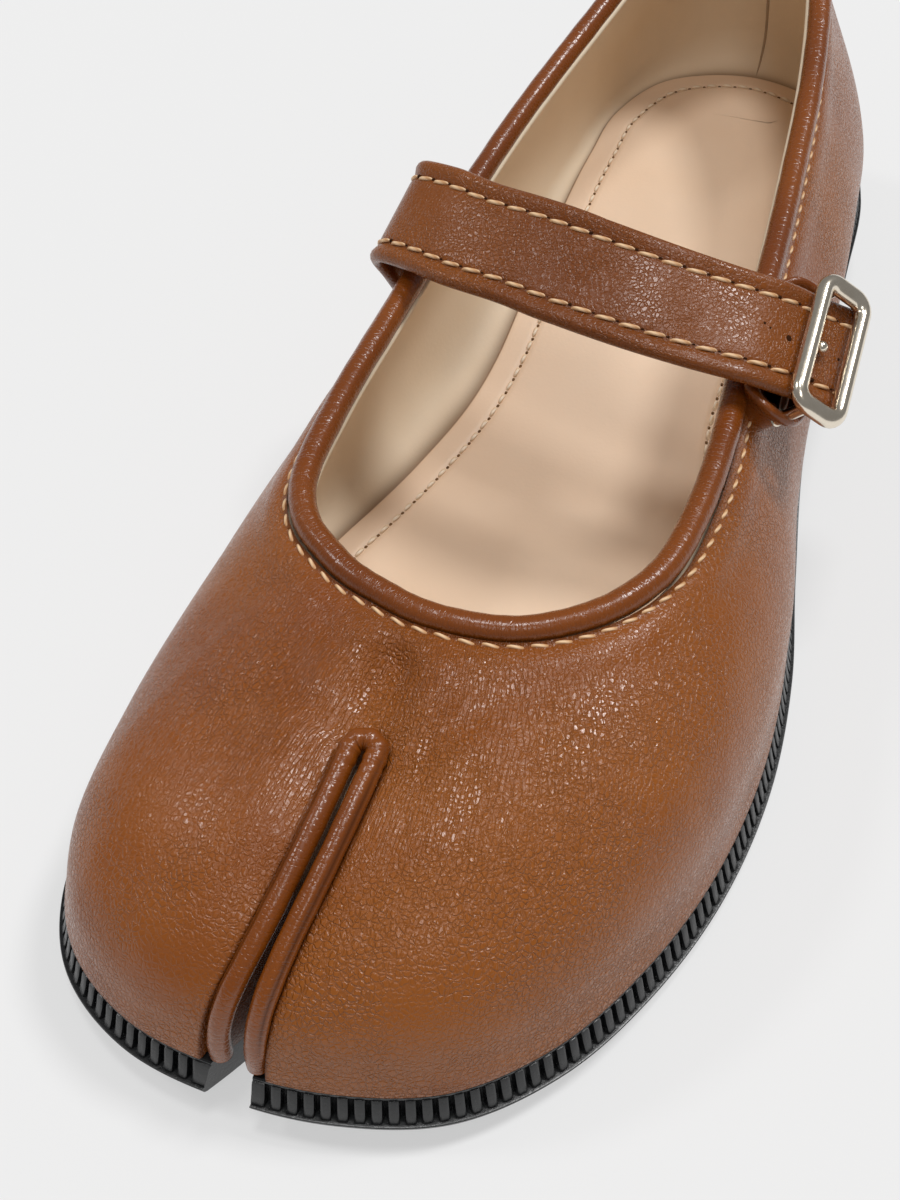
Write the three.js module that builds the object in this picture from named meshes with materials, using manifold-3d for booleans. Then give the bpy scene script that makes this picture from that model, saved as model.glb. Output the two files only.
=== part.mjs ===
// A split-toe mary jane for the left foot, in millimetres.
// +Z is up, the toe points along -Y, the heel along +Y, and +X is the outer (lateral) side.
// While the pieces are worked out, y counts from the toe tip; the group at the end moves
// the origin to the middle of the shoe's footprint, on the floor.
import * as THREE from "three";
import { mergeVertices } from "three/addons/utils/BufferGeometryUtils.js";
import Module from "manifold-3d";

const wasm = await Module();
wasm.setup();

// Driving sizes of the shoe
const LENGTH = 256;
const BALL_WIDTH = 98;
const HEEL_HEIGHT = 20;
const INSTEP_HEIGHT = 41;
const BACK_HEIGHT = 72;
const SOLE_THICKNESS = 6.6;
const TOE_SPRING = 5;
const ARCH_RISE = 5;
const WALL = 1.8;
const INSOLE_THICKNESS = 3;
const GAP = 0.3;
const LOOSE_GAP = 0.45;

// Places along the sole, as shares of the length
const SPRING_END = 0.29;
const ARCH_START = 0.43;
const ARCH_TOP = 0.6;
const HEEL_BREAST = 0.69;
const SEAT_RISE_START = 0.42;
const SEAT_RISE_END = 0.78;

// The sole's side: ribs under a thin rim, with a lip below them
const RIB_COUNT = 264;
const RIB_DEPTH = 1.3;
const RIB_HEIGHT = 4.4;
const RIM_INSET = 2.1;
const RIM_HEIGHT = 0.7;
const RIB_TOP_INSET = 1.9;
const RIB_FOOT_INSET = 0.5;
const LIP_UNDERCUT = 0.4;
const FEATHER_INSET = 2.8;

// The tread: shallow cuts across the forefoot and the heel, as shares of the length
const TREAD_DEPTH = 1.2;
const TREAD_WIDTH = 2.4;
const TREAD_REACH = 118;
const TREAD_CUTS = [0.31, 0.345, 0.38, 0.415, 0.77, 0.81, 0.85, 0.89];

// Rolled edges and the split between the toes
const BEAD_RADIUS = 2;
const ROLL_RADIUS = 1.6;
const SLIT_LENGTH = 38;
const SLIT_GAP = 1.8;
const ROLL_OVERHANG = 0.5;
const ROLL_RISE = 0.8;
const ROLL_TUCK = 1.1;
const MOUTH_HALF = 3.1;
const MOUTH_LENGTH = 16;
const SOLE_SPLIT_LENGTH = 32;
const SOLE_SPLIT_MARGIN = 0.4;
const TROUGH_DEPTH = 1.8;
const TROUGH_WIDTH = 8;
const TROUGH_FADE = [0.12, 0.235];
const TROUGH_START = 0.4;

// The strap: its body, its rolled edges, and where its end is sewn on the inner side of the wall
const STRAP_WIDTH = 19.2;
const STRAP_THICKNESS = 1.8;
const STRAP_EDGE_WIDTH = 2.6;
const STRAP_EDGE_THICKNESS = 2.6;
const STRAP_STEPS = 30;
const STRAP_HOLE_RADIUS = 1.1;
const STRAP_ROLL_SHOULDER = 53;
const STRAP_TIP = [
  { past: 1.1, drop: 0.3 },
  { past: 2.2, drop: 1.1 },
];

// The buckle: a frame of round bars, a centre bar on two legs below it, and a stud
const BAR_RADIUS = 1.35;
const BAR_DISTANCE = 8.2;
const RAIL_DISTANCE = 22.6;
const RAIL_WIDTH = 3.3;
const FRAME_CORNER = 2.3;
const FRAME_SIDES = 8;
const FRAME_TO_STRAP = 3;
const CENTRE_BAR_RADIUS = 1;
const CENTRE_BAR_DROP = 6.9;
const CENTRE_BAR_SHIFT = -1.5;
const STUD_RADIUS = 1;
const STUD_HEIGHT = -0.7;
const STEM_RADIUS = 0.55;
const EYE_RADIUS = 1.9;
const EYE_WIDTH = 2;

// The leather tab that holds the centre bar: a plate with a rolled rim, on a foot against the wall
const TAB_LENGTH = 25;
const TAB_WIDTH = 12.6;
const TAB_CORNER = 5;
const TAB_THICKNESS = 3.4;
const TAB_RIM = 1.2;
const TAB_SHIFT = -3;
const TAB_DROP = 0.9;
const TAB_FOOT_WIDTH = 7;
const TAB_FOOT_REACH = 25;

// The insole stands in from the feather line by the wall and a little ease
const INSOLE_EASE = 1;

// How finely the curved skins are divided
const ROUND_STEPS = 60;
const OUTLINE_STEPS = 132;
const WALL_STEPS = 9;
const BEAD_SIDES = 8;
const HALVINGS = 24;
const TOE_SHARE = 0.12;
const INNER_SIDE = [0.6, 0.85];
const ROLL_STEPS = 44;
const ROLL_SIDES = 8;
const ROLL_END_TURNS = [-60, -20, 20, 60];
const ROLL_TRIES = 4;
const ROLL_START = 0.005;
const ROLL_STRIDE = 0.03;
const LOOKUP_STEPS = 200;
const WEDGE_STEPS = 14;
const WEDGE_ROUND_STEPS = 5;
const ROD_SIDES = 10;
const HOLE_SIDES = 16;
const CORNER_STEPS = 2;
const TAB_CORNER_STEPS = 3;
const TAB_BEVEL_STEPS = 2;

// Rows of numbers under named columns.
function table(names, rows) {
  return rows.map((row) => Object.fromEntries(names.map((name, i) => [name, row[i]])));
}

// The last, one row per place round the shoe, from the split in the toe along the outer side to the
// heel and back along the inner side. edgeX and topX are shares of half the ball width, edgeY and topY
// of the length. edge is the sole's outer edge and top the middle of the rolled topline, height a share
// of the way from the instep height to the back height. The rest shapes the wall between them: rise is
// a share of its height, reach of its span, lean bulges it outwards in mm, slope is its angle at the top.
const LAST = table(
  ["edgeX", "edgeY", "topX", "topY", "height", "rise", "reach", "lean", "slope"],
  [
    [-0.18, 0.0, -0.082, 0.237, 0.0, 0.8, 0.34, 1, 11],
    [0.122, 0.007, 0.061, 0.237, 0.0, 0.8, 0.34, 1, 11],
    [0.42, 0.03, 0.204, 0.243, 0.0, 0.8, 0.34, 1, 13],
    [0.655, 0.076, 0.337, 0.258, 0.003, 0.78, 0.34, 1, 17],
    [0.822, 0.137, 0.449, 0.279, 0.013, 0.75, 0.34, 1, 24],
    [0.943, 0.211, 0.537, 0.311, 0.023, 0.7, 0.33, 1, 34],
    [0.998, 0.297, 0.573, 0.357, 0.042, 0.62, 0.33, 1.5, 45],
    [0.973, 0.387, 0.578, 0.41, 0.071, 0.55, 0.33, 2, 54],
    [0.888, 0.477, 0.559, 0.473, 0.116, 0.5, 0.33, 2.5, 61],
    [0.796, 0.578, 0.539, 0.574, 0.219, 0.45, 0.33, 6.5, 67],
    [0.767, 0.668, 0.51, 0.66, 0.335, 0.4, 0.33, 9, 71],
    [0.753, 0.766, 0.465, 0.754, 0.5, 0.36, 0.33, 6.5, 74],
    [0.718, 0.867, 0.392, 0.836, 0.671, 0.32, 0.33, 4, 77],
    [0.582, 0.949, 0.292, 0.902, 0.823, 0.35, 0.33, 2, 80],
    [0.327, 0.99, 0.184, 0.943, 0.935, 0.4, 0.33, 3, 84],
    [0.082, 1.0, 0.061, 0.959, 1.0, 0.4, 0.33, 4, 86],
    [-0.163, 0.986, -0.071, 0.947, 0.968, 0.4, 0.33, 4, 84],
    [-0.388, 0.941, -0.194, 0.906, 0.855, 0.4, 0.33, 4, 80],
    [-0.516, 0.867, -0.306, 0.846, 0.694, 0.4, 0.33, 5, 77],
    [-0.539, 0.77, -0.404, 0.771, 0.532, 0.4, 0.33, 7, 74],
    [-0.551, 0.664, -0.518, 0.664, 0.339, 0.4, 0.33, 9, 70],
    [-0.612, 0.555, -0.58, 0.555, 0.197, 0.4, 0.33, 10, 66],
    [-0.745, 0.453, -0.612, 0.453, 0.097, 0.45, 0.33, 8, 61],
    [-0.888, 0.359, -0.622, 0.371, 0.048, 0.48, 0.33, 3.5, 54],
    [-0.986, 0.262, -0.592, 0.305, 0.019, 0.5, 0.33, 0, 44],
    [-1.004, 0.156, -0.514, 0.277, 0.013, 0.6, 0.33, -0.5, 34],
    [-0.939, 0.084, -0.418, 0.262, 0.006, 0.72, 0.34, 0.5, 24],
    [-0.784, 0.037, -0.316, 0.25, 0.003, 0.78, 0.34, 1, 17],
    [-0.51, 0.007, -0.208, 0.243, 0.0, 0.8, 0.34, 1, 13],
  ],
);

// The strap's middle line from its sewn end to its tip. Sewn rows lie on the wall, at up of its height.
// across is a share of half the ball width, along of the length, height of the instep height. tilt lifts
// the strap's rear edge and turn swings it outwards, in degrees.
const STRAP_SEWN = [
  { up: 0.6, along: 0.569, tilt: 27, turn: 8 },
  { up: 0.74, along: 0.56, tilt: 28, turn: 8 },
];
const STRAP_FREE = [
  { across: -0.716, along: 0.5465, height: 1.065, tilt: 29, turn: 12 },
  { across: -0.735, along: 0.536, height: 1.183, tilt: 30, turn: 13 },
  { across: -0.698, along: 0.5227, height: 1.273, tilt: 28, turn: 8 },
  { across: -0.571, along: 0.509, height: 1.332, tilt: 27, turn: 0 },
  { across: -0.408, along: 0.496, height: 1.359, tilt: 27, turn: 0 },
  { across: -0.204, along: 0.4867, height: 1.378, tilt: 27, turn: 0 },
  { across: 0, along: 0.4762, height: 1.388, tilt: 27, turn: 0 },
  { across: 0.224, along: 0.47, height: 1.378, tilt: 25, turn: 0 },
  { across: 0.408, along: 0.4715, height: 1.345, tilt: 22, turn: 0 },
  { across: 0.596, along: 0.478, height: 1.2927, tilt: 18, turn: 0 },
];

// The middle of the buckle's frame, in the strap's columns, and how the frame leans, in degrees.
const BUCKLE = { across: 0.8178, along: 0.489, height: 1.2197, lift: 20.2, lean: 34.8, turn: 13.4 };

// The split's middle line: along is a share of its length, across a share of half the ball width.
const SLIT = [
  { along: -0.21, across: -0.215 },
  { along: 0, across: -0.182 },
  { along: 0.263, across: -0.13 },
  { along: 0.58, across: -0.09 },
  { along: 1.05, across: -0.065 },
];

const HALF_BALL = BALL_WIDTH / 2;
const { lerp, smoothstep, clamp, degToRad } = THREE.MathUtils;

// Smooth curve through three columns of a table.
function columns(rows, closed, pick) {
  const points = rows.map((row) => new THREE.Vector3(...pick(row)));
  return new THREE.CatmullRomCurve3(points, closed, "centripetal");
}

const edgeCurve = columns(LAST, true, (r) => [r.edgeX * HALF_BALL, r.edgeY * LENGTH, 0]);
const topCurve = columns(LAST, true, (r) => [
  r.topX * HALF_BALL,
  r.topY * LENGTH,
  lerp(INSTEP_HEIGHT, BACK_HEIGHT, r.height),
]);
const wallCurve = columns(LAST, true, (r) => [r.rise, r.reach, r.lean]);
const slopeCurve = columns(LAST, true, (r) => [degToRad(r.slope), 0, 0]);
edgeCurve.arcLengthDivisions = 1500;

// Heights of the sole's underside and top at a distance y from the toe tip.
function springAt(y) {
  return TOE_SPRING * Math.max(0, 1 - y / LENGTH / SPRING_END) ** 2;
}

function soleUnder(y) {
  const share = y / LENGTH;
  const arch = share < HEEL_BREAST ? ARCH_RISE * smoothstep(share, ARCH_START, ARCH_TOP) : 0;
  return springAt(y) + arch;
}

function soleTop(y) {
  const seat = smoothstep(y / LENGTH, SEAT_RISE_START, SEAT_RISE_END);
  return lerp(SOLE_THICKNESS, HEEL_HEIGHT, seat) + springAt(y);
}

// A point of the sole's outline, moved inwards, at a share of the way round.
function outlinePoint(share, inset, height) {
  const s = ((share % 1) + 1) % 1;
  const p = edgeCurve.getPointAt(s);
  const t = edgeCurve.getTangentAt(s);
  p.x -= t.y * inset;
  p.y += t.x * inset;
  p.z = height(p.y);
  return p;
}

function outlineRing(count, inset, height) {
  return Array.from({ length: count }, (_, i) => {
    const depth = typeof inset === "function" ? inset(i) : inset;
    return outlinePoint(i / count, depth, height);
  });
}

// The split's middle line, and where it is at a distance y from the toe tip.
const slitCurve = columns(SLIT, false, (r) => [r.across * HALF_BALL, r.along * SLIT_LENGTH, 0]);
const slitLine = slitCurve.getSpacedPoints(LOOKUP_STEPS);

function slitCentre(y) {
  const last = slitLine.length - 1;
  const after = slitLine.findIndex((p) => p.y >= y);
  const i = after < 1 ? (after === 0 ? 1 : last) : after;
  const [a, b] = [slitLine[i - 1], slitLine[i]];
  return lerp(a.x, b.x, clamp((y - a.y) / (b.y - a.y), 0, 1));
}

// Grows from 0 behind the split's mouth to 1 at the toe tip.
function mouthAt(y) {
  return clamp(1 - y / MOUTH_LENGTH, 0, 1) ** 2;
}

// Half the split's width.
function slitHalf(y) {
  return lerp(SLIT_GAP / 2, MOUTH_HALF, mouthAt(y));
}

// How far the middle of the rolled edge lies from the split's middle line.
function rollOffset(y) {
  return slitHalf(y) + ROLL_RADIUS - ROLL_OVERHANG - ROLL_TUCK * mouthAt(y);
}

// The soft trough that runs from the split towards the throat.
function troughAt(x, y) {
  const across = (x - slitCentre(y)) / TROUGH_WIDTH;
  return TROUGH_DEPTH * Math.exp(-across * across) * (1 - smoothstep(y / LENGTH, ...TROUGH_FADE));
}

// One wall line of the upper: a bezier from the feather line to the middle of the topline's roll.
function wallLine(share) {
  const s = ((share % 1) + 1) % 1;
  const t = edgeCurve.getUtoTmapping(s);
  const foot = outlinePoint(s, FEATHER_INSET, (y) => soleTop(y) + GAP);
  const inward = outlinePoint(s, 1, () => 0).sub(outlinePoint(s, 0, () => 0));
  const bead = topCurve.getPoint(t);
  const along = topCurve.getTangent(t);
  const shape = wallCurve.getPoint(t);
  const slope = slopeCurve.getPoint(t).x;
  const climb = new THREE.Vector3(-along.y, along.x, 0).normalize().multiplyScalar(Math.cos(slope));
  climb.setZ(Math.sin(slope)).addScaledVector(along, -climb.dot(along)).normalize();
  const face = along.clone().cross(climb);
  const rim = bead.clone().addScaledVector(climb, -(BEAD_RADIUS + GAP)).addScaledVector(face, WALL / 2);
  const lower = foot.clone().addScaledVector(inward, -shape.z);
  lower.z += shape.x * (rim.z - foot.z);
  const upper = rim.clone().addScaledVector(climb, -shape.y * rim.distanceTo(foot));
  return { curve: new THREE.CubicBezierCurve3(foot, lower, upper, rim), bead, climb, face };
}

// A point of the upper's outer skin: share round the shoe, up from the sole (0) to the rim (1).
function skinPoint(share, up) {
  return wallLine(share).curve.getPoint(up);
}

function skinNormal(share, up) {
  const step = 1e-3;
  const u0 = clamp(up - step, 0, 1);
  const u1 = clamp(up + step, 0, 1);
  const along = skinPoint(share + step, up).sub(skinPoint(share - step, up));
  const climb = skinPoint(share, u1).sub(skinPoint(share, u0));
  return along.cross(climb).normalize();
}

// The skin moved inwards by a depth, with the trough pressed into it; the bottom edge stays level.
function wallPoint(share, up, depth) {
  const p = skinPoint(share, up);
  const n = skinNormal(share, up);
  const z = p.z;
  p.addScaledVector(n, -depth - troughAt(p.x, p.y) * smoothstep(up, 0, TROUGH_START));
  if (up === 0) p.z = z;
  return p;
}

// Collects the triangles of one closed solid.
class Solid {
  constructor() {
    this.corners = [];
  }

  triangle(...points) {
    points.forEach((p) => this.corners.push(p.x, p.y, p.z));
  }

  // Joins two rings that run counter-clockwise seen from the second; their counts may differ by two.
  band(first, second) {
    const n = first.length;
    const m = second.length;
    const steps = Math.max(n, m);
    for (let i = 0; i < steps; i += 1) {
      const a0 = Math.round((i * n) / steps);
      const a1 = Math.round(((i + 1) * n) / steps);
      const b0 = Math.round((i * m) / steps);
      const b1 = Math.round(((i + 1) * m) / steps);
      if (a1 > a0) this.triangle(first[a0 % n], first[a1 % n], second[b0 % m]);
      if (b1 > b0) this.triangle(first[a1 % n], second[b1 % m], second[b0 % m]);
    }
    return this;
  }

  // Closes a ring that has one toe end and one heel end with strips across it.
  strips(ring, faceUp) {
    const n = ring.length;
    const ys = ring.map((p) => p.y);
    const start = ys.indexOf(Math.min(...ys));
    const end = ys.indexOf(Math.max(...ys));
    let right = start;
    let left = start;
    while (right !== end || left !== end) {
      const nextRight = (right + 1) % n;
      const nextLeft = (left + n - 1) % n;
      const goRight = left === end || (right !== end && ys[nextRight] <= ys[nextLeft]);
      const tri = goRight
        ? [ring[left], ring[right], ring[nextRight]]
        : [ring[left], ring[right], ring[nextLeft]];
      if (new Set(tri).size === 3) this.triangle(...(faceUp ? tri : tri.reverse()));
      if (goRight) right = nextRight;
      else left = nextLeft;
    }
    return this;
  }

  // Closes a small ring with triangles that meet in its middle.
  fan(ring, faceOut) {
    const middle = ring.reduce((sum, p) => sum.add(p), new THREE.Vector3()).divideScalar(ring.length);
    ring.forEach((p, i) => {
      const next = ring[(i + 1) % ring.length];
      this.triangle(middle, ...(faceOut ? [p, next] : [next, p]));
    });
    return this;
  }

  geometry() {
    const positions = new THREE.Float32BufferAttribute(this.corners, 3);
    return new THREE.BufferGeometry().setAttribute("position", positions);
  }
}

// Rings joined in order; the first ring follows the last where the solid closes on itself.
function closedLoft(rings) {
  const solid = new Solid();
  rings.forEach((ring, i) => solid.band(ring, rings[(i + 1) % rings.length]));
  return solid.geometry();
}

function cappedLoft(rings, caps) {
  const solid = new Solid();
  rings.slice(1).forEach((ring, i) => solid.band(rings[i], ring));
  solid[caps](rings[0], false);
  solid[caps](rings.at(-1), true);
  return solid.geometry();
}

// Change between three.js geometry and solids that can be joined and cut.
function toManifold(geometry) {
  const bare = geometry.index ? geometry.toNonIndexed() : geometry.clone();
  bare.deleteAttribute("normal");
  bare.deleteAttribute("uv");
  const merged = mergeVertices(bare, 1e-4);
  const index = Array.from(merged.index.array);
  const triVerts = [];
  for (let i = 0; i < index.length; i += 3) {
    const [a, b, c] = index.slice(i, i + 3);
    if (a !== b && b !== c && c !== a) triVerts.push(a, b, c);
  }
  const vertProperties = merged.attributes.position.array;
  return new wasm.Manifold(new wasm.Mesh({ numProp: 3, vertProperties, triVerts: new Uint32Array(triVerts) }));
}

function toGeometry(solid) {
  const { numProp, vertProperties, triVerts } = solid.getMesh();
  const count = vertProperties.length / numProp;
  const positions = new Float32Array(count * 3);
  for (let i = 0; i < count; i += 1) {
    positions.set(vertProperties.subarray(i * numProp, i * numProp + 3), i * 3);
  }
  const geometry = new THREE.BufferGeometry();
  geometry.setAttribute("position", new THREE.BufferAttribute(positions, 3));
  geometry.setIndex(new THREE.BufferAttribute(new Uint32Array(triVerts), 1));
  const flat = geometry.toNonIndexed();
  flat.computeVertexNormals();
  return flat;
}

// An upright wedge that follows the split, wider than it by a margin, rounded at its closed end.
function slitWedge(margin, length) {
  const front = SLIT[0].along * SLIT_LENGTH;
  const ys = Array.from({ length: WEDGE_STEPS + 1 }, (_, i) => lerp(front, length, i / WEDGE_STEPS));
  const right = ys.map((y) => [slitCentre(y) + slitHalf(y) + margin, y]);
  const left = ys.map((y) => [slitCentre(y) - slitHalf(y) - margin, y]).reverse();
  const radius = slitHalf(length) + margin;
  const end = Array.from({ length: WEDGE_ROUND_STEPS }, (_, i) => {
    const angle = (Math.PI * (i + 1)) / (WEDGE_ROUND_STEPS + 1);
    return [slitCentre(length) + radius * Math.cos(angle), length + radius * Math.sin(angle)];
  });
  const shape = new THREE.Shape([...right, ...end, ...left].map(([x, y]) => new THREE.Vector2(x, y)));
  const wedge = new THREE.ExtrudeGeometry(shape, { depth: BACK_HEIGHT, bevelEnabled: false });
  return wedge.translate(0, 0, -TOE_SPRING);
}

// Outsole: rings from its top down to its ribs, lip and underside, split at the toe, with a cut tread.
function outsoleSolid() {
  const ribTop = (y) => soleTop(y) - RIM_HEIGHT;
  const ribFoot = (y) => soleTop(y) - RIM_HEIGHT - RIB_HEIGHT;
  const rib = (inset) => (i) => inset + (i % 2 ? RIB_DEPTH : 0);
  const rings = [
    outlineRing(OUTLINE_STEPS, LIP_UNDERCUT, soleUnder),
    outlineRing(OUTLINE_STEPS, 0, ribFoot),
    outlineRing(RIB_COUNT * 2, rib(RIB_FOOT_INSET), ribFoot),
    outlineRing(RIB_COUNT * 2, rib(RIB_TOP_INSET), ribTop),
    outlineRing(OUTLINE_STEPS, RIM_INSET, soleTop),
  ];
  let solid = toManifold(cappedLoft(rings, "strips"));
  solid = solid.subtract(toManifold(slitWedge(SOLE_SPLIT_MARGIN, SOLE_SPLIT_LENGTH)));
  TREAD_CUTS.forEach((share) => {
    const cut = new THREE.BoxGeometry(TREAD_REACH, TREAD_WIDTH, 2 * TREAD_DEPTH);
    solid = solid.subtract(toManifold(cut.translate(0, share * LENGTH, 0)));
  });
  return solid;
}

// Upper: one wall between two skins, with a slit wall down each side of the split.
function skinRing(up, depth) {
  return Array.from({ length: ROUND_STEPS }, (_, i) => wallPoint((i + 0.5) / ROUND_STEPS, up, depth));
}

function skinRings(depth) {
  return Array.from({ length: WALL_STEPS + 1 }, (_, i) => skinRing(i / WALL_STEPS, depth));
}

// All that lies inside the outer skin, and inside a distance outside it.
function skinSolid(outside) {
  return toManifold(cappedLoft(skinRings(-outside), "strips"));
}

function upperSolid() {
  const shell = toManifold(closedLoft([...skinRings(0), ...skinRings(WALL).reverse()]));
  const slitWalls = skinSolid(0).intersect(toManifold(slitWedge(WALL, SLIT_LENGTH)));
  const groove = toManifold(rollGeometry(ROLL_RADIUS + GAP, 2 * GAP));
  return shell.add(slitWalls).subtract(toManifold(slitWedge(0, SLIT_LENGTH))).subtract(groove);
}

// Insole: a board on the sole's top, inside the upper and its slit walls.
function insoleSolid() {
  const inset = FEATHER_INSET + WALL + INSOLE_EASE;
  const count = ROUND_STEPS;
  const rings = [
    outlineRing(count, inset, (y) => soleTop(y) + GAP),
    outlineRing(count, inset, (y) => soleTop(y) + GAP + INSOLE_THICKNESS),
  ];
  const board = toManifold(cappedLoft(rings, "strips"));
  return board.subtract(toManifold(slitWedge(WALL + GAP * 2, SLIT_LENGTH)));
}

// Ring of points square to a direction, for tubes.
function tubeRing(centre, normal, binormal, radius, sides) {
  return Array.from({ length: sides }, (_, i) => {
    const angle = (2 * Math.PI * i) / sides;
    return centre
      .clone()
      .addScaledVector(normal, radius * Math.cos(angle))
      .addScaledVector(binormal, radius * Math.sin(angle));
  });
}

// Topline roll: a closed tube along the middle of the topline, with a ring on each wall line.
function beadGeometry(radius) {
  const rings = Array.from({ length: ROUND_STEPS }, (_, i) => {
    const { bead, climb, face } = wallLine((i + 0.5) / ROUND_STEPS);
    return tubeRing(bead, climb, face, radius, BEAD_SIDES);
  });
  return closedLoft(rings);
}

// The share round the shoe, between two others, where one level of the wall passes a mark.
function shareWhere(up, low, high, passes) {
  let [before, after] = [low, high];
  for (let i = 0; i < HALVINGS; i += 1) {
    const middle = (before + after) / 2;
    if (passes(skinPoint(middle, up))) after = middle;
    else before = middle;
  }
  return (before + after) / 2;
}

// The middle of the rolled edge over x at one level of the wall.
function skinOver(x, up) {
  const share = shareWhere(up, -TOE_SHARE, TOE_SHARE, (p) => p.x >= x);
  return wallPoint(share, up, -ROLL_RISE * (1 - mouthAt(skinPoint(share, up).y)));
}

// The middle of the rolled edge over (x, y), walked to up the wall.
function skinAt(x, y) {
  let [before, after] = [0, 1];
  for (let i = 0; i < HALVINGS; i += 1) {
    const middle = (before + after) / 2;
    if (skinOver(x, middle).y >= y) after = middle;
    else before = middle;
  }
  return skinOver(x, (before + after) / 2);
}

// The line that the split's rolled edge follows, from the sole up one side, round the end and down.
function rollPath() {
  const side = (sign) => {
    const points = [];
    for (let up = ROLL_START; up <= 1; up += ROLL_STRIDE) {
      let p = skinOver(slitCentre(0), up);
      for (let i = 0; i < ROLL_TRIES; i += 1) {
        p = skinOver(slitCentre(p.y) + sign * rollOffset(p.y), up);
      }
      if (p.y > SLIT_LENGTH - ROLL_RADIUS / 2) break;
      points.push(p);
    }
    return points;
  };
  const end = ROLL_END_TURNS.map((degrees) => {
    const angle = degToRad(degrees);
    const radius = rollOffset(SLIT_LENGTH);
    const x = slitCentre(SLIT_LENGTH) + radius * Math.sin(angle);
    return skinAt(x, SLIT_LENGTH + radius * Math.cos(angle));
  });
  return [...side(-1), ...end, ...side(1).reverse()];
}

// A tube along the rolled edge, its two ends run on by a length.
function rollGeometry(radius, runOn) {
  const points = rollPath();
  const past = (end, before) => end.clone().add(end.clone().sub(before).setLength(runOn));
  if (runOn > 0) {
    points.unshift(past(points[0], points[1]));
    points.push(past(points.at(-1), points.at(-2)));
  }
  const rollCurve = new THREE.CatmullRomCurve3(points, false, "centripetal");
  const circle = new THREE.Shape().absarc(0, 0, radius, 0, 2 * Math.PI);
  return new THREE.ExtrudeGeometry(circle, {
    steps: ROLL_STEPS,
    curveSegments: ROLL_SIDES / 2,
    bevelEnabled: false,
    extrudePath: rollCurve,
  });
}

// The buckle's frame of axes: x along the strap, y along the bars, z away from the shoe.
const buckleAxes = new THREE.Matrix4()
  .makeRotationFromEuler(
    new THREE.Euler(degToRad(BUCKLE.lift), degToRad(BUCKLE.lean), degToRad(BUCKLE.turn), "ZYX"),
  )
  .setPosition(place(BUCKLE));

function place(row) {
  return new THREE.Vector3(row.across * HALF_BALL, row.along * LENGTH, row.height * INSTEP_HEIGHT);
}

function atBuckle(x, y, z) {
  return new THREE.Vector3(x, y, z).applyMatrix4(buckleAxes);
}

// The strap's stations: its middle line and the direction across it.
function strapStations() {
  const level = -FRAME_TO_STRAP;
  const half = BAR_DISTANCE / 2;
  const bars = new THREE.Vector3(0, 1, 0).transformDirection(buckleAxes);
  const across = ({ tilt, turn }) =>
    new THREE.Vector3(
      Math.cos(degToRad(tilt)) * Math.sin(degToRad(turn)),
      Math.cos(degToRad(tilt)) * Math.cos(degToRad(turn)),
      Math.sin(degToRad(tilt)),
    );
  const sewn = STRAP_SEWN.map((row) => {
    const share = shareWhere(row.up, ...INNER_SIDE, (p) => p.y <= row.along * LENGTH);
    return { point: wallPoint(share, row.up, -STRAP_EDGE_THICKNESS / 2 - 3 * GAP), across: across(row) };
  });
  const free = STRAP_FREE.map((row) => ({ point: place(row), across: across(row) }));
  const held = [
    [-half, level],
    [0, level],
    [half, level],
    ...STRAP_TIP.map(({ past, drop }) => [half + past, level - drop]),
  ].map(([x, z]) => ({ point: atBuckle(x, 0, z), across: bars }));
  return [...sewn, ...free, ...held];
}

// The strap's section, counter-clockwise: a thin body between two rolled edges.
function strapSection() {
  const half = STRAP_WIDTH / 2;
  const body = STRAP_THICKNESS / 2;
  const edge = STRAP_EDGE_THICKNESS / 2;
  const shoulder = degToRad(STRAP_ROLL_SHOULDER);
  const shoulderIn = edge * (1 - Math.cos(shoulder));
  const shoulderUp = edge * Math.sin(shoulder);
  const upperSide = [
    [half, 0],
    [half - shoulderIn, shoulderUp],
    [half - STRAP_EDGE_WIDTH / 2, edge],
    [half - STRAP_EDGE_WIDTH, body],
    [-half + STRAP_EDGE_WIDTH, body],
    [-half + STRAP_EDGE_WIDTH / 2, edge],
    [-half + shoulderIn, shoulderUp],
  ];
  return [...upperSide, ...upperSide.map(([w, t]) => [-w, -t])];
}

function strapSolid() {
  const stations = strapStations();
  const path = new THREE.CatmullRomCurve3(stations.map((s) => s.point), false, "centripetal");
  const spread = new THREE.CatmullRomCurve3(stations.map((s) => s.across), false, "centripetal");
  const rings = Array.from({ length: STRAP_STEPS + 1 }, (_, i) => {
    const t = path.getUtoTmapping(i / STRAP_STEPS);
    const along = path.getTangent(t);
    const across = spread.getPoint(t).addScaledVector(along, -spread.getPoint(t).dot(along)).normalize();
    const out = along.clone().cross(across);
    return strapSection().map(([w, h]) =>
      path.getPoint(t).addScaledVector(across, w).addScaledVector(out, h),
    );
  });
  const depth = 2 * FRAME_TO_STRAP;
  const hole = new THREE.CylinderGeometry(STRAP_HOLE_RADIUS, STRAP_HOLE_RADIUS, depth, HOLE_SIDES);
  hole.rotateX(Math.PI / 2).translate(CENTRE_BAR_SHIFT, 0, -FRAME_TO_STRAP).applyMatrix4(buckleAxes);
  return toManifold(cappedLoft(rings, "fan")).subtract(toManifold(hole));
}

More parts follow.
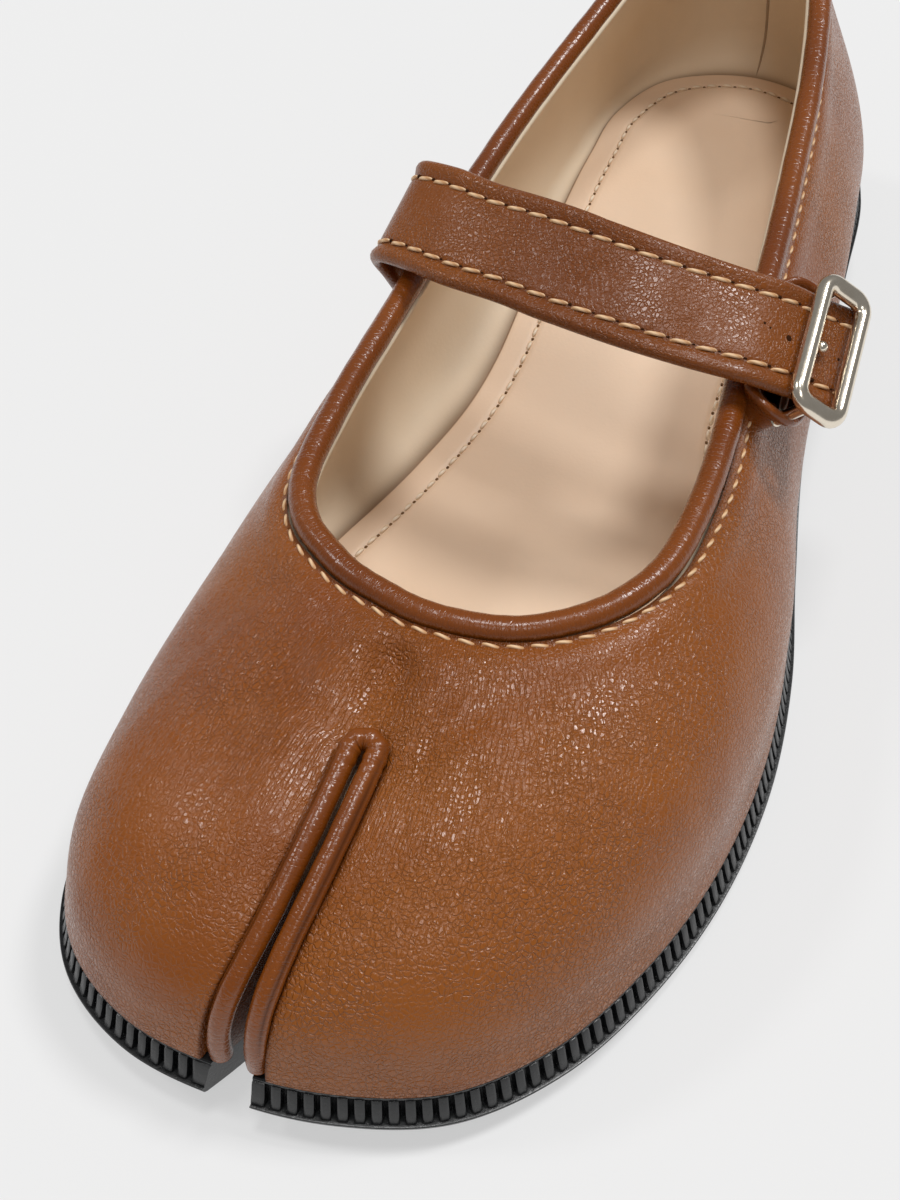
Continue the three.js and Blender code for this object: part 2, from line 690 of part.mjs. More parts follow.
// The buckle's frame: a rounded rectangle of bars and wider rails, with the centre bar below it.
function frameSolid() {
  const outline = rectangle(0, BAR_DISTANCE, RAIL_DISTANCE, FRAME_CORNER);
  const points = outline.getPoints(CORNER_STEPS).slice(0, -1);
  const rings = points.map((p, i) => {
    const before = points.at(i - 1);
    const after = points[(i + 1) % points.length];
    const outward = new THREE.Vector3(after.y - before.y, before.x - after.x, 0).normalize();
    const wide = lerp(BAR_RADIUS, RAIL_WIDTH / 2, outward.y ** 2);
    return Array.from({ length: FRAME_SIDES }, (_, k) => {
      const angle = (-2 * Math.PI * k) / FRAME_SIDES;
      const reach = outward.clone().multiplyScalar(wide * Math.cos(angle));
      return new THREE.Vector3(p.x, p.y, BAR_RADIUS * Math.sin(angle)).add(reach);
    });
  });
  return toManifold(closedLoft(rings).applyMatrix4(buckleAxes)).add(centreBar(CENTRE_BAR_RADIUS));
}

// The centre bar and its two legs; a larger radius gives the room that it needs.
function centreBar(radius) {
  const halfY = RAIL_DISTANCE / 2;
  const bar = new THREE.CylinderGeometry(radius, radius, RAIL_DISTANCE + radius, ROD_SIDES);
  bar.translate(CENTRE_BAR_SHIFT, 0, -CENTRE_BAR_DROP).applyMatrix4(buckleAxes);
  const legs = [-1, 1].map((side) => {
    const leg = new THREE.CylinderGeometry(radius, radius, CENTRE_BAR_DROP + radius, ROD_SIDES);
    leg.rotateX(Math.PI / 2).translate(CENTRE_BAR_SHIFT, side * halfY, -(CENTRE_BAR_DROP + radius) / 2);
    return toManifold(leg.applyMatrix4(buckleAxes));
  });
  return legs.reduce((sum, leg) => sum.add(leg), toManifold(bar));
}

// The stud: an eye round the centre bar, a stem through the strap's hole and a ball on top.
function studSolid() {
  const reach = CENTRE_BAR_DROP + STUD_HEIGHT - EYE_RADIUS + GAP;
  const boreRadius = CENTRE_BAR_RADIUS + LOOSE_GAP;
  const eye = new THREE.CylinderGeometry(EYE_RADIUS, EYE_RADIUS, EYE_WIDTH, ROD_SIDES + 2);
  const bore = new THREE.CylinderGeometry(boreRadius, boreRadius, 2 * EYE_WIDTH, ROD_SIDES + 2);
  const stem = new THREE.CylinderGeometry(STEM_RADIUS, STEM_RADIUS, reach, ROD_SIDES - 2);
  const ball = new THREE.SphereGeometry(STUD_RADIUS, ROD_SIDES, ROD_SIDES - 2);
  stem.rotateX(Math.PI / 2).translate(0, 0, -reach / 2);
  const atHeight = (shape, height) =>
    toManifold(shape.translate(CENTRE_BAR_SHIFT, 0, height).applyMatrix4(buckleAxes));
  return atHeight(eye, -CENTRE_BAR_DROP)
    .subtract(atHeight(bore, -CENTRE_BAR_DROP))
    .add(atHeight(stem, STUD_HEIGHT))
    .add(atHeight(ball, STUD_HEIGHT));
}

// A prism along the buckle's axis out of the shoe, with an outline in its x and y.
function buckleBlock(outline, low, high) {
  const prism = new THREE.ExtrudeGeometry(outline, { depth: high - low, bevelEnabled: false });
  return toManifold(prism.translate(0, 0, low).applyMatrix4(buckleAxes));
}

// A rectangle centred on (x, 0), with its corners rounded where a radius is given.
function rectangle(x, width, length, radius = 0) {
  const [halfX, halfY] = [width / 2, length / 2];
  const shape = new THREE.Shape();
  if (radius === 0) {
    shape.moveTo(x - halfX, -halfY).lineTo(x + halfX, -halfY);
    return shape.lineTo(x + halfX, halfY).lineTo(x - halfX, halfY);
  }
  const corners = [
    [1, 1],
    [-1, 1],
    [-1, -1],
    [1, -1],
  ];
  corners.forEach(([sideX, sideY], i) => {
    const centre = [x + sideX * (halfX - radius), sideY * (halfY - radius)];
    shape.absarc(...centre, radius, (i * Math.PI) / 2, ((i + 1) * Math.PI) / 2);
  });
  return shape;
}

// The tab: a plate with a rolled rim under the strap, on a foot that reaches the wall.
function tabSolid() {
  const roof = -FRAME_TO_STRAP - STRAP_EDGE_THICKNESS / 2 - TAB_DROP;
  const footX = TAB_SHIFT + (TAB_WIDTH - TAB_FOOT_WIDTH) / 2 - TAB_RIM;
  const flat = rectangle(TAB_SHIFT, TAB_WIDTH - 2 * TAB_RIM, TAB_LENGTH - 2 * TAB_RIM, TAB_CORNER - TAB_RIM);
  const plate = new THREE.ExtrudeGeometry(flat, {
    depth: TAB_THICKNESS - 2 * TAB_RIM,
    curveSegments: TAB_CORNER_STEPS,
    bevelSegments: TAB_BEVEL_STEPS,
    bevelSize: TAB_RIM,
    bevelThickness: TAB_RIM,
  });
  plate.translate(0, 0, roof - TAB_THICKNESS + TAB_RIM).applyMatrix4(buckleAxes);
  const footLength = RAIL_DISTANCE - 2 * (CENTRE_BAR_RADIUS + 2 * GAP);
  const footShape = rectangle(footX, TAB_FOOT_WIDTH, footLength);
  const foot = buckleBlock(footShape, -TAB_FOOT_REACH, roof - TAB_THICKNESS / 2);
  const eyeRoom = rectangle(CENTRE_BAR_SHIFT, 2 * (EYE_RADIUS + GAP), EYE_WIDTH + 2 * GAP);
  return toManifold(plate)
    .add(foot)
    .subtract(skinSolid(LOOSE_GAP))
    .subtract(toManifold(beadGeometry(BEAD_RADIUS + GAP)))
    .subtract(centreBar(CENTRE_BAR_RADIUS + LOOSE_GAP))
    .subtract(buckleBlock(eyeRoom, -CENTRE_BAR_DROP - EYE_RADIUS - GAP, 0));
}

const leather = { color: 0x8a5630, roughness: 0.45, metalness: 0 };
const rubber = { color: 0x1b1b1c, roughness: 0.55, metalness: 0 };
const lining = { color: 0xd9b792, roughness: 0.7, metalness: 0 };
const nickel = { color: 0xd8cfc0, roughness: 0.2, metalness: 1 };

const PIECES = {
  outsole: [outsoleSolid(), rubber],
  insole: [insoleSolid(), lining],
  upper: [upperSolid(), leather],
  topline_roll: [toManifold(beadGeometry(BEAD_RADIUS)), leather],
  slit_roll: [toManifold(rollGeometry(ROLL_RADIUS, 0)), leather],
  strap: [strapSolid(), leather],
  buckle_tab: [tabSolid(), leather],
  buckle_frame: [frameSolid(), nickel],
  buckle_stud: [studSolid(), nickel],
};

const group = new THREE.Group();
Object.entries(PIECES).forEach(([name, [solid, finish]]) => {
  const mesh = new THREE.Mesh(toGeometry(solid), new THREE.MeshStandardMaterial(finish));
  mesh.name = name;
  group.add(mesh);
});

const box = new THREE.Box3().setFromObject(group);
group.position.set(-(box.min.x + box.max.x) / 2, -(box.min.y + box.max.y) / 2, 0);

export default group;
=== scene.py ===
"""Split-toe mary jane for the left foot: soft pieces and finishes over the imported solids.

Places are worked out in millimetres from the toe tip, with +X to the outer side, +Y to the heel and
+Z up. Every finished mesh is in metres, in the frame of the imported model.
"""
import logging
from collections.abc import Callable
from dataclasses import dataclass, field
from enum import Enum
from typing import NamedTuple

import bmesh
import bpy
import numpy as np
from mathutils import Matrix, Vector


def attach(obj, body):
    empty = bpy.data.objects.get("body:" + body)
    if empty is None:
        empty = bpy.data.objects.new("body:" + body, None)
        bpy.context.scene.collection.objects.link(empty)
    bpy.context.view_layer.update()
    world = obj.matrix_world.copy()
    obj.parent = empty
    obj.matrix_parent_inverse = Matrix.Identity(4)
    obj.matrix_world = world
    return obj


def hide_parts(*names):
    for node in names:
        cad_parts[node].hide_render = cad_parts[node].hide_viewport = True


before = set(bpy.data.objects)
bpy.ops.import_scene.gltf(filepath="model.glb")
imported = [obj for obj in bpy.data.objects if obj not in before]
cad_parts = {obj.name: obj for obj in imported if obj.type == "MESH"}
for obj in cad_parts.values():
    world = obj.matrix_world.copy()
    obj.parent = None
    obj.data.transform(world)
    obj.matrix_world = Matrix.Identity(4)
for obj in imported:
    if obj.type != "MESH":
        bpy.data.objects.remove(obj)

LOG = logging.getLogger("tabi_shoe")
MM = 0.001
HALVINGS = 24


# Small sums on arrays of points


def smoothstep(value: np.ndarray, low: float, high: float) -> np.ndarray:
    """Rises as t * t * (3 - 2 * t) from 0 at low to 1 at high."""
    t = np.clip((np.asarray(value) - low) / (high - low), 0, 1)
    return t * t * (3 - 2 * t)


def unit(vectors: np.ndarray) -> np.ndarray:
    """Scales vectors to length 1."""
    return vectors / np.linalg.norm(vectors, axis=-1, keepdims=True)


def dot(a: np.ndarray, b: np.ndarray) -> np.ndarray:
    """Scalar products along the last axis, which stays."""
    return np.sum(a * b, axis=-1, keepdims=True)


def bell(distance: np.ndarray, width: float) -> np.ndarray:
    """A soft bump that is 1 at distance 0 and falls to 1/e at one width."""
    return np.exp(-((distance / width) ** 2))


class Curve:
    """Centripetal Catmull-Rom curve through rows of numbers, with a parameter from 0 to 1."""

    def __init__(self, rows: list, closed: bool, steps: int = 200) -> None:
        """Keeps the rows and measures the curve.

        Args:
            rows: The points that the curve passes.
            closed: Whether it runs from the last point on to the first.
            steps: How many chords measure its length.
        """
        self.rows = np.array(rows, dtype=float)
        self.closed = closed
        self.marks = np.linspace(0, 1, steps + 1)
        chords = np.linalg.norm(np.diff(self.at(self.marks), axis=0), axis=1)
        self.lengths = np.concatenate([[0], np.cumsum(chords)])

    def at(self, t: np.ndarray) -> np.ndarray:
        """Points of the curve: a cubic in each span, its end slopes set by the neighbouring points.

        Args:
            t: Parameters, of any shape.

        Returns:
            Points, with one more axis than t.
        """
        count = len(self.rows)
        spans = count if self.closed else count - 1
        place = np.asarray(t, dtype=float) * spans
        first = np.floor(place).astype(int)
        if self.closed:
            p0, p1, p2, p3 = (self.rows[(first + k) % count] for k in (-1, 0, 1, 2))
        else:
            first = np.clip(first, 0, spans - 1)
            before = 2 * self.rows[0] - self.rows[1]
            after = 2 * self.rows[-1] - self.rows[-2]
            padded = np.vstack([before, self.rows, after])
            p0, p1, p2, p3 = (padded[first + k] for k in (0, 1, 2, 3))
        w = (place - first)[..., None]
        d0, d1, d2 = (np.sqrt(np.linalg.norm(b - a, axis=-1, keepdims=True)) for a, b in
                      ((p0, p1), (p1, p2), (p2, p3)))
        d1 = np.where(d1 < 1e-4, 1, d1)
        d0 = np.where(d0 < 1e-4, d1, d0)
        d2 = np.where(d2 < 1e-4, d1, d2)
        s1 = ((p1 - p0) / d0 - (p2 - p0) / (d0 + d1) + (p2 - p1) / d1) * d1
        s2 = ((p2 - p1) / d1 - (p3 - p1) / (d1 + d2) + (p3 - p2) / d2) * d1
        c2 = 3 * (p2 - p1) - 2 * s1 - s2
        c3 = 2 * (p1 - p2) + s1 + s2
        return p1 + s1 * w + c2 * w**2 + c3 * w**3

    def along(self, t: np.ndarray) -> np.ndarray:
        """Unit tangents, from two points close to each place.

        Args:
            t: Parameters.

        Returns:
            One unit vector a parameter.
        """
        step = 1e-4
        low, high = np.asarray(t) - step, np.asarray(t) + step
        if not self.closed:
            low, high = np.clip(low, 0, 1), np.clip(high, 0, 1)
        return unit(self.at(high) - self.at(low))

    def by_length(self, share: np.ndarray) -> np.ndarray:
        """Parameters at shares of the curve's length.

        Args:
            share: Shares; a closed curve takes them below 0 and above 1 too.

        Returns:
            One parameter a share.
        """
        share = np.asarray(share, dtype=float)
        turns = np.floor(share) if self.closed else 0
        inside = np.interp((share - turns) * self.lengths[-1], self.lengths, self.marks)
        return inside + turns


def evenly(points: np.ndarray, pitch: float, closed: bool) -> tuple[np.ndarray, np.ndarray]:
    """Where marks at an even pitch fall along a polyline.

    Args:
        points: The polyline, one row a point.
        pitch: The wanted distance between marks, adjusted to fit whole times.
        closed: Whether the line runs back to its first point.

    Returns:
        The places as fractional indices into points, and the real pitch.
    """
    line = np.vstack([points, points[:1]]) if closed else points
    run = np.concatenate([[0], np.cumsum(np.linalg.norm(np.diff(line, axis=0), axis=1))])
    count = max(2, round(run[-1] / pitch))
    marks = (np.arange(count) + 0.5) * run[-1] / count
    return np.interp(marks, run, np.arange(len(line))), run[-1] / count


def pick(values: np.ndarray, index: np.ndarray, closed: bool) -> np.ndarray:
    """Reads rows at fractional indices, with straight lines between the rows.

    Args:
        values: The rows.
        index: Where to read them.
        closed: Whether the last row runs on to the first.

    Returns:
        One row an index.
    """
    table = np.vstack([values, values[:1]]) if closed else values
    low = np.clip(np.floor(index).astype(int), 0, len(table) - 2)
    w = (index - low)[:, None]
    return table[low] * (1 - w) + table[low + 1] * w


# Meshes from arrays


class Grid(NamedTuple):
    """Quads over a grid of points, and each corner's row and column before wrapping."""

    faces: np.ndarray
    corners: np.ndarray


def grid(rows: int, columns: int, wrap_rows: bool = False, wrap_columns: bool = False) -> Grid:
    """Faces of a grid whose point (i, j) is numbered i * columns + j.

    Args:
        rows: Count of rows.
        columns: Count of columns.
        wrap_rows: Whether the last row joins the first.
        wrap_columns: Whether the last column joins the first.

    Returns:
        The quads and their unwrapped corners.
    """
    i, j = np.meshgrid(
        np.arange(rows if wrap_rows else rows - 1),
        np.arange(columns if wrap_columns else columns - 1),
        indexing="ij",
    )
    i, j = i.ravel(), j.ravel()
    corners = np.stack([np.stack([i + a, j + b], -1) for a, b in ((0, 0), (0, 1), (1, 1), (1, 0))], 1)
    faces = (corners[..., 0] % rows) * columns + corners[..., 1] % columns
    return Grid(faces, corners)


@dataclass
class Sheet:
    """Points and faces of one piece while it is worked out, in millimetres from the toe tip."""

    points: np.ndarray
    faces: list
    uv: np.ndarray | None = None
    marks: dict = field(default_factory=dict)

    @staticmethod
    def of_grid(points: np.ndarray, wrap_rows: bool = False, wrap_columns: bool = False,
                size: tuple[float, float] = (1, 1), flip: bool = False) -> "Sheet":
        """Makes a sheet from a grid of points.

        Args:
            points: Array of rows by columns by 3.
            wrap_rows: Whether the last row joins the first.
            wrap_columns: Whether the last column joins the first.
            size: Millimetres that one step of rows and of columns stands for in the UV map.
            flip: Turns the faces round.

        Returns:
            The sheet, with a UV map in metres.
        """
        rows, columns = points.shape[:2]
        made = grid(rows, columns, wrap_rows, wrap_columns)
        order = [3, 2, 1, 0] if flip else [0, 1, 2, 3]
        uv = made.corners[:, order].reshape(-1, 2) * np.array(size) * MM
        return Sheet(points.reshape(-1, 3), made.faces[:, order].tolist(), uv)

    def cap(self, ring: np.ndarray) -> "Sheet":
        """Closes a ring with one face.

        Args:
            ring: Numbers of the ring's points.

        Returns:
            The sheet itself.
        """
        self.faces.append([int(k) for k in ring])
        if self.uv is not None:
            self.uv = np.vstack([self.uv, np.zeros((len(ring), 2))])
        return self


def joined(sheets: list[Sheet]) -> Sheet:
    """Puts several sheets into one.

    Args:
        sheets: The sheets.

    Returns:
        One sheet, with a UV map if all of them have one.
    """
    starts = np.cumsum([0] + [len(s.points) for s in sheets[:-1]])
    faces = [[k + int(start) for k in face] for s, start in zip(sheets, starts) for face in s.faces]
    uv = None
    if all(s.uv is not None for s in sheets):
        uv = np.vstack([s.uv for s in sheets])
    return Sheet(np.vstack([s.points for s in sheets]), faces, uv)


def tube(path: np.ndarray, normal: np.ndarray, side: np.ndarray, radius: float | np.ndarray,
         sides: int, closed: bool) -> Sheet:
    """A round tube: each ring is centre + radius * (normal cos a + side sin a).

    Args:
        path: Centres, one row a ring.
        normal: Unit vectors square to the path.
        side: Unit vectors square to the path and to normal.
        radius: One radius, or an array of rings by 1 or by sides.
        sides: Points in a ring.
        closed: Whether the last ring joins the first.

    Returns:
        The tube, with caps where it is open.
    """
    angle = np.linspace(0, 2 * np.pi, sides, endpoint=False)[None, :, None]
    reach = np.broadcast_to(np.asarray(radius, dtype=float), (len(path), sides))[..., None]
    points = path[:, None] + reach * (normal[:, None] * np.cos(angle) + side[:, None] * np.sin(angle))
    step = float(np.mean(np.linalg.norm(np.diff(path, axis=0), axis=1)))
    made = Sheet.of_grid(points, closed, True, (step, 2 * np.pi * float(np.mean(reach)) / sides))
    if not closed:
        last = (len(path) - 1) * sides
        made.cap(np.arange(sides)).cap(last + np.arange(sides)[::-1])
    return made


def rounded_rectangle(half_x: float, half_y: float, corner: float, turns: int,
                      pitch: float) -> tuple[np.ndarray, np.ndarray]:
    """A rounded rectangle as a ring of points at an even pitch, anticlockwise.

    Args:
        half_x: Half its size in x.
        half_y: Half its size in y.
        corner: Radius of its corners.
        turns: Points that first draw each corner.
        pitch: The wanted distance between points.

    Returns:
        The points, and unit vectors out of the ring, each as rows of x and y.
    """
    path, outward = [], []
    for quarter, (sx, sy) in enumerate(((1, 1), (-1, 1), (-1, -1), (1, -1))):
        angle = np.linspace(0, np.pi / 2, turns) + quarter * np.pi / 2
        away = np.stack([np.cos(angle), np.sin(angle)], -1)
        path.append(np.array([sx * (half_x - corner), sy * (half_y - corner)]) + corner * away)
        outward.append(away)
    path, outward = np.vstack(path), np.vstack(outward)
    index, _ = evenly(path, pitch, True)
    return pick(path, index, True), unit(pick(outward, index, True))


# The shoe's form


class WallRow(NamedTuple):
    """One place round the shoe: the sole's edge, the topline's middle, and the wall between."""

    edge_x: float
    edge_y: float
    top_x: float
    top_y: float
    height: float
    rise: float
    reach: float
    lean: float
    slope: float


class WallLine(NamedTuple):
    """Control points of the wall's curve, and the axes of the topline's roll above it."""

    foot: np.ndarray
    lower: np.ndarray
    upper: np.ndarray
    rim: np.ndarray
    bead: np.ndarray
    climb: np.ndarray
    face: np.ndarray


# From the split in the toe along the outer side to the heel and back along the inner side. edge_x and
# top_x are shares of half the ball width, edge_y and top_y of the length; slope is in degrees.
WALL_ROWS = [
    WallRow(-0.18, 0.0, -0.082, 0.237, 0.0, 0.8, 0.34, 1, 11),
    WallRow(0.122, 0.007, 0.061, 0.237, 0.0, 0.8, 0.34, 1, 11),
    WallRow(0.42, 0.03, 0.204, 0.243, 0.0, 0.8, 0.34, 1, 13),
    WallRow(0.655, 0.076, 0.337, 0.258, 0.003, 0.78, 0.34, 1, 17),
    WallRow(0.822, 0.137, 0.449, 0.279, 0.013, 0.75, 0.34, 1, 24),
    WallRow(0.943, 0.211, 0.537, 0.311, 0.023, 0.7, 0.33, 1, 34),
    WallRow(0.998, 0.297, 0.573, 0.357, 0.042, 0.62, 0.33, 1.5, 45),
    WallRow(0.973, 0.387, 0.578, 0.41, 0.071, 0.55, 0.33, 2, 54),
    WallRow(0.888, 0.477, 0.559, 0.473, 0.116, 0.5, 0.33, 2.5, 61),
    WallRow(0.796, 0.578, 0.539, 0.574, 0.219, 0.45, 0.33, 6.5, 67),
    WallRow(0.767, 0.668, 0.51, 0.66, 0.335, 0.4, 0.33, 9, 71),
    WallRow(0.753, 0.766, 0.465, 0.754, 0.5, 0.36, 0.33, 6.5, 74),
    WallRow(0.718, 0.867, 0.392, 0.836, 0.671, 0.32, 0.33, 4, 77),
    WallRow(0.582, 0.949, 0.292, 0.902, 0.823, 0.35, 0.33, 2, 80),
    WallRow(0.327, 0.99, 0.184, 0.943, 0.935, 0.4, 0.33, 3, 84),
    WallRow(0.082, 1.0, 0.061, 0.959, 1.0, 0.4, 0.33, 4, 86),
    WallRow(-0.163, 0.986, -0.071, 0.947, 0.968, 0.4, 0.33, 4, 84),
    WallRow(-0.388, 0.941, -0.194, 0.906, 0.855, 0.4, 0.33, 4, 80),
    WallRow(-0.516, 0.867, -0.306, 0.846, 0.694, 0.4, 0.33, 5, 77),
    WallRow(-0.539, 0.77, -0.404, 0.771, 0.532, 0.4, 0.33, 7, 74),
    WallRow(-0.551, 0.664, -0.518, 0.664, 0.339, 0.4, 0.33, 9, 70),
    WallRow(-0.612, 0.555, -0.58, 0.555, 0.197, 0.4, 0.33, 10, 66),
    WallRow(-0.745, 0.453, -0.612, 0.453, 0.097, 0.45, 0.33, 8, 61),
    WallRow(-0.888, 0.359, -0.622, 0.371, 0.048, 0.48, 0.33, 3.5, 54),
    WallRow(-0.986, 0.262, -0.592, 0.305, 0.019, 0.5, 0.33, 0, 44),
    WallRow(-1.004, 0.156, -0.514, 0.277, 0.013, 0.6, 0.33, -0.5, 34),
    WallRow(-0.939, 0.084, -0.418, 0.262, 0.006, 0.72, 0.34, 0.5, 24),
    WallRow(-0.784, 0.037, -0.316, 0.25, 0.003, 0.78, 0.34, 1, 17),
    WallRow(-0.51, 0.007, -0.208, 0.243, 0.0, 0.8, 0.34, 1, 13),
]

# The split's middle line: a share of half the ball width at a share of the split's length.
SPLIT_LINE = [(-0.21, -0.215), (0, -0.182), (0.263, -0.13), (0.58, -0.09), (1.05, -0.065)]


@dataclass
class Last:
    """The last that all pieces follow: its sole line, its walls and the split between the toes."""

    length: float = 256
    half_ball: float = 49
    heel_height: float = 20
    instep_height: float = 41
    back_height: float = 72
    sole_thickness: float = 6.6
    toe_spring: float = 5
    arch_rise: float = 5
    spring_end: float = 0.29
    arch: tuple[float, float] = (0.43, 0.6)
    heel_breast: float = 0.69
    seat_rise: tuple[float, float] = (0.42, 0.78)
    gap: float = 0.3
    wall: float = 1.8
    feather_inset: float = 2.8
    bead_radius: float = 2
    roll_radius: float = 1.6
    split_length: float = 38
    split_gap: float = 1.8
    mouth_half: float = 3.1
    mouth_length: float = 16
    roll_overhang: float = 0.5
    roll_rise: float = 0.8
    roll_tuck: float = 1.1
    trough_depth: float = 1.8
    trough_width: float = 8
    trough_fade: tuple[float, float] = (0.12, 0.235)
    trough_start: float = 0.4
    box_steps: int = 132
    stitch_near: float = 0.62
    stitch_far: float = 2.3

    def __post_init__(self) -> None:
        """Draws the curves that the other methods read."""
        span = self.back_height - self.instep_height
        rows = WALL_ROWS
        self.edge = Curve([(r.edge_x * self.half_ball, r.edge_y * self.length, 0) for r in rows],
                          True, 1500)
        self.top = Curve(
            [(r.top_x * self.half_ball, r.top_y * self.length, self.instep_height + span * r.height)
             for r in rows], True)
        self.shape = Curve([(r.rise, r.reach, r.lean) for r in rows], True)
        self.slope = Curve([(np.radians(r.slope), 0, 0) for r in rows], True)
        split = Curve([(x * self.half_ball, y * self.split_length, 0) for y, x in SPLIT_LINE], False)
        self.split_line = split.at(split.by_length(np.linspace(0, 1, 201)))
        ring = self.outline(np.arange(self.box_steps) / self.box_steps, 0)
        self.shift = -(ring.min(axis=0) + ring.max(axis=0)) / 2 * [1, 1, 0]

    def placed(self, points: np.ndarray) -> np.ndarray:
        """Moves points from the toe tip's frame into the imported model's, in metres."""
        return (points + self.shift) * MM

    def spring(self, y: np.ndarray) -> np.ndarray:
        """Height of the toe's spring."""
        return self.toe_spring * np.maximum(0, 1 - y / self.length / self.spring_end) ** 2

    def sole_under(self, y: np.ndarray) -> np.ndarray:
        """Height of the sole's underside: the spring, and the arch in front of the heel."""
        arch = self.arch_rise * smoothstep(y / self.length, *self.arch)
        return self.spring(y) + np.where(y / self.length < self.heel_breast, arch, 0)

    def sole_top(self, y: np.ndarray) -> np.ndarray:
        """Height of the sole's top."""
        seat = smoothstep(y / self.length, *self.seat_rise)
        return self.sole_thickness + (self.heel_height - self.sole_thickness) * seat + self.spring(y)

    def outline(self, share: np.ndarray, inset: float | np.ndarray) -> np.ndarray:
        """Points of the sole's outline, moved inwards, at height 0.

        Args:
            share: Shares of the way round.
            inset: Millimetres inwards.

        Returns:
            One point a share.
        """
        t = self.edge.by_length(share)
        along = self.edge.along(t)
        inward = np.stack([-along[..., 1], along[..., 0], 0 * along[..., 0]], -1)
        return self.edge.at(t) + inward * np.asarray(inset)[..., None]

    def split_centre(self, y: np.ndarray) -> np.ndarray:
        """Where the split's middle line is at a distance from the toe tip."""
        return np.interp(y, self.split_line[:, 1], self.split_line[:, 0])

    def stitch_place(self, y: np.ndarray) -> np.ndarray:
        """How far the topline's stitches lie below the rim: close at the throat, further off behind."""
        back = smoothstep(y, 0.27 * self.length, 0.42 * self.length)
        return self.stitch_near + (self.stitch_far - self.stitch_near) * back

    def mouth(self, y: np.ndarray) -> np.ndarray:
        """Grows from 0 behind the split's mouth to 1 at the toe tip."""
        return np.clip(1 - y / self.mouth_length, 0, 1) ** 2

    def split_half(self, y: np.ndarray) -> np.ndarray:
        """Half the split's width."""
        return self.split_gap / 2 + (self.mouth_half - self.split_gap / 2) * self.mouth(y)

    def roll_offset(self, y: np.ndarray) -> np.ndarray:
        """How far the middle of the rolled edge lies from the split's middle line."""
        return self.split_half(y) + self.roll_radius - self.roll_overhang - self.roll_tuck * self.mouth(y)

    def trough(self, x: np.ndarray, y: np.ndarray) -> np.ndarray:
        """Depth of the soft trough that runs from the split towards the throat."""
        fade = 1 - smoothstep(y / self.length, *self.trough_fade)
        return self.trough_depth * bell(x - self.split_centre(y), self.trough_width) * fade

    def wall_line(self, share: np.ndarray) -> WallLine:
        """The curve of the wall: a cubic Bezier from the feather line to the topline's roll.

        Args:
            share: Shares of the way round, of any shape.

        Returns:
            The control points and the roll's axes, with one more axis than share.
        """
        t = self.edge.by_length(share)
        foot = self.outline(share, self.feather_inset)
        foot[..., 2] = self.sole_top(foot[..., 1]) + self.gap
        inward = self.outline(share, 1) - self.outline(share, 0)
        bead, along, shape = self.top.at(t), self.top.along(t), self.shape.at(t)
        slope = self.slope.at(t)[..., :1]
        across = unit(np.stack([-along[..., 1], along[..., 0], 0 * along[..., 0]], -1))
        climb = across * np.cos(slope) + np.array([0, 0, 1]) * np.sin(slope)
        climb = unit(climb - along * dot(climb, along))
        face = np.cross(along, climb)
        rim = bead - climb * (self.bead_radius + self.gap) + face * self.wall / 2
        lower = foot - inward * shape[..., 2:]
        lower[..., 2] += shape[..., 0] * (rim[..., 2] - foot[..., 2])
        span = np.linalg.norm(rim - foot, axis=-1, keepdims=True)
        upper = rim - climb * shape[..., 1:2] * span
        return WallLine(foot, lower, upper, rim, bead, climb, face)

    def rim_speed(self, share: np.ndarray) -> np.ndarray:
        """Millimetres of wall that one whole level would cover at the pace it has at the rim."""
        w = self.wall_line(share)
        return 3 * np.linalg.norm(w.rim - w.upper, axis=-1)

    def skin(self, share: np.ndarray, up: np.ndarray) -> np.ndarray:
        """Points of the upper's outer skin.

        Args:
            share: Shares of the way round.
            up: Levels from the sole (0) to the rim (1).

        Returns:
            The points, with one more axis than share.
        """
        share, up = np.broadcast_arrays(share, up)
        w = self.wall_line(share)
        u = up[..., None]
        v = 1 - u
        return w.foot * v**3 + 3 * w.lower * v**2 * u + 3 * w.upper * v * u**2 + w.rim * u**3

    def skin_out(self, share: np.ndarray, up: np.ndarray) -> np.ndarray:
        """Unit vectors out of the skin, square to its two tangents.

        Args:
            share: Shares of the way round.
            up: Levels of the wall.

        Returns:
            One unit vector a place.
        """
        step = 1e-3
        along = self.skin(share + step, up) - self.skin(share - step, up)
        climb = self.skin(share, np.clip(up + step, 0, 1)) - self.skin(share, np.clip(up - step, 0, 1))
        return unit(np.cross(along, climb))

    def wall_point(self, share: np.ndarray, up: np.ndarray, depth: float | np.ndarray) -> np.ndarray:
        """The skin moved inwards by a depth, with the trough pressed into it.

        Args:
            share: Shares of the way round.
            up: Shares of the wall's height.
            depth: Millimetres inwards.

        Returns:
            Points of the moved skin.
        """
        share, up = np.broadcast_arrays(share, up)
        p = self.skin(share, up)
        sunk = depth + self.trough(p[..., 0], p[..., 1]) * smoothstep(up, 0, self.trough_start)
        moved = p - self.skin_out(share, up) * np.asarray(sunk)[..., None]
        moved[..., 2] = np.where(up == 0, p[..., 2], moved[..., 2])
        return moved

    def share_where(self, up: np.ndarray, low: float, high: float,
                    passes: Callable[[np.ndarray], np.ndarray]) -> np.ndarray:
        """Halves a range of shares until one level of the wall passes a mark.

        Args:
            up: Levels, one a mark.
            low: A share before the mark.
            high: A share after it.
            passes: Tells for an array of points whether each is past its mark.

        Returns:
            One share a level.
        """
        before = np.full(np.shape(up), float(low))
        after = np.full(np.shape(up), float(high))
        for _ in range(HALVINGS):
            middle = (before + after) / 2
            past = passes(self.skin(middle, up))
            after = np.where(past, middle, after)
            before = np.where(past, before, middle)
        return (before + after) / 2

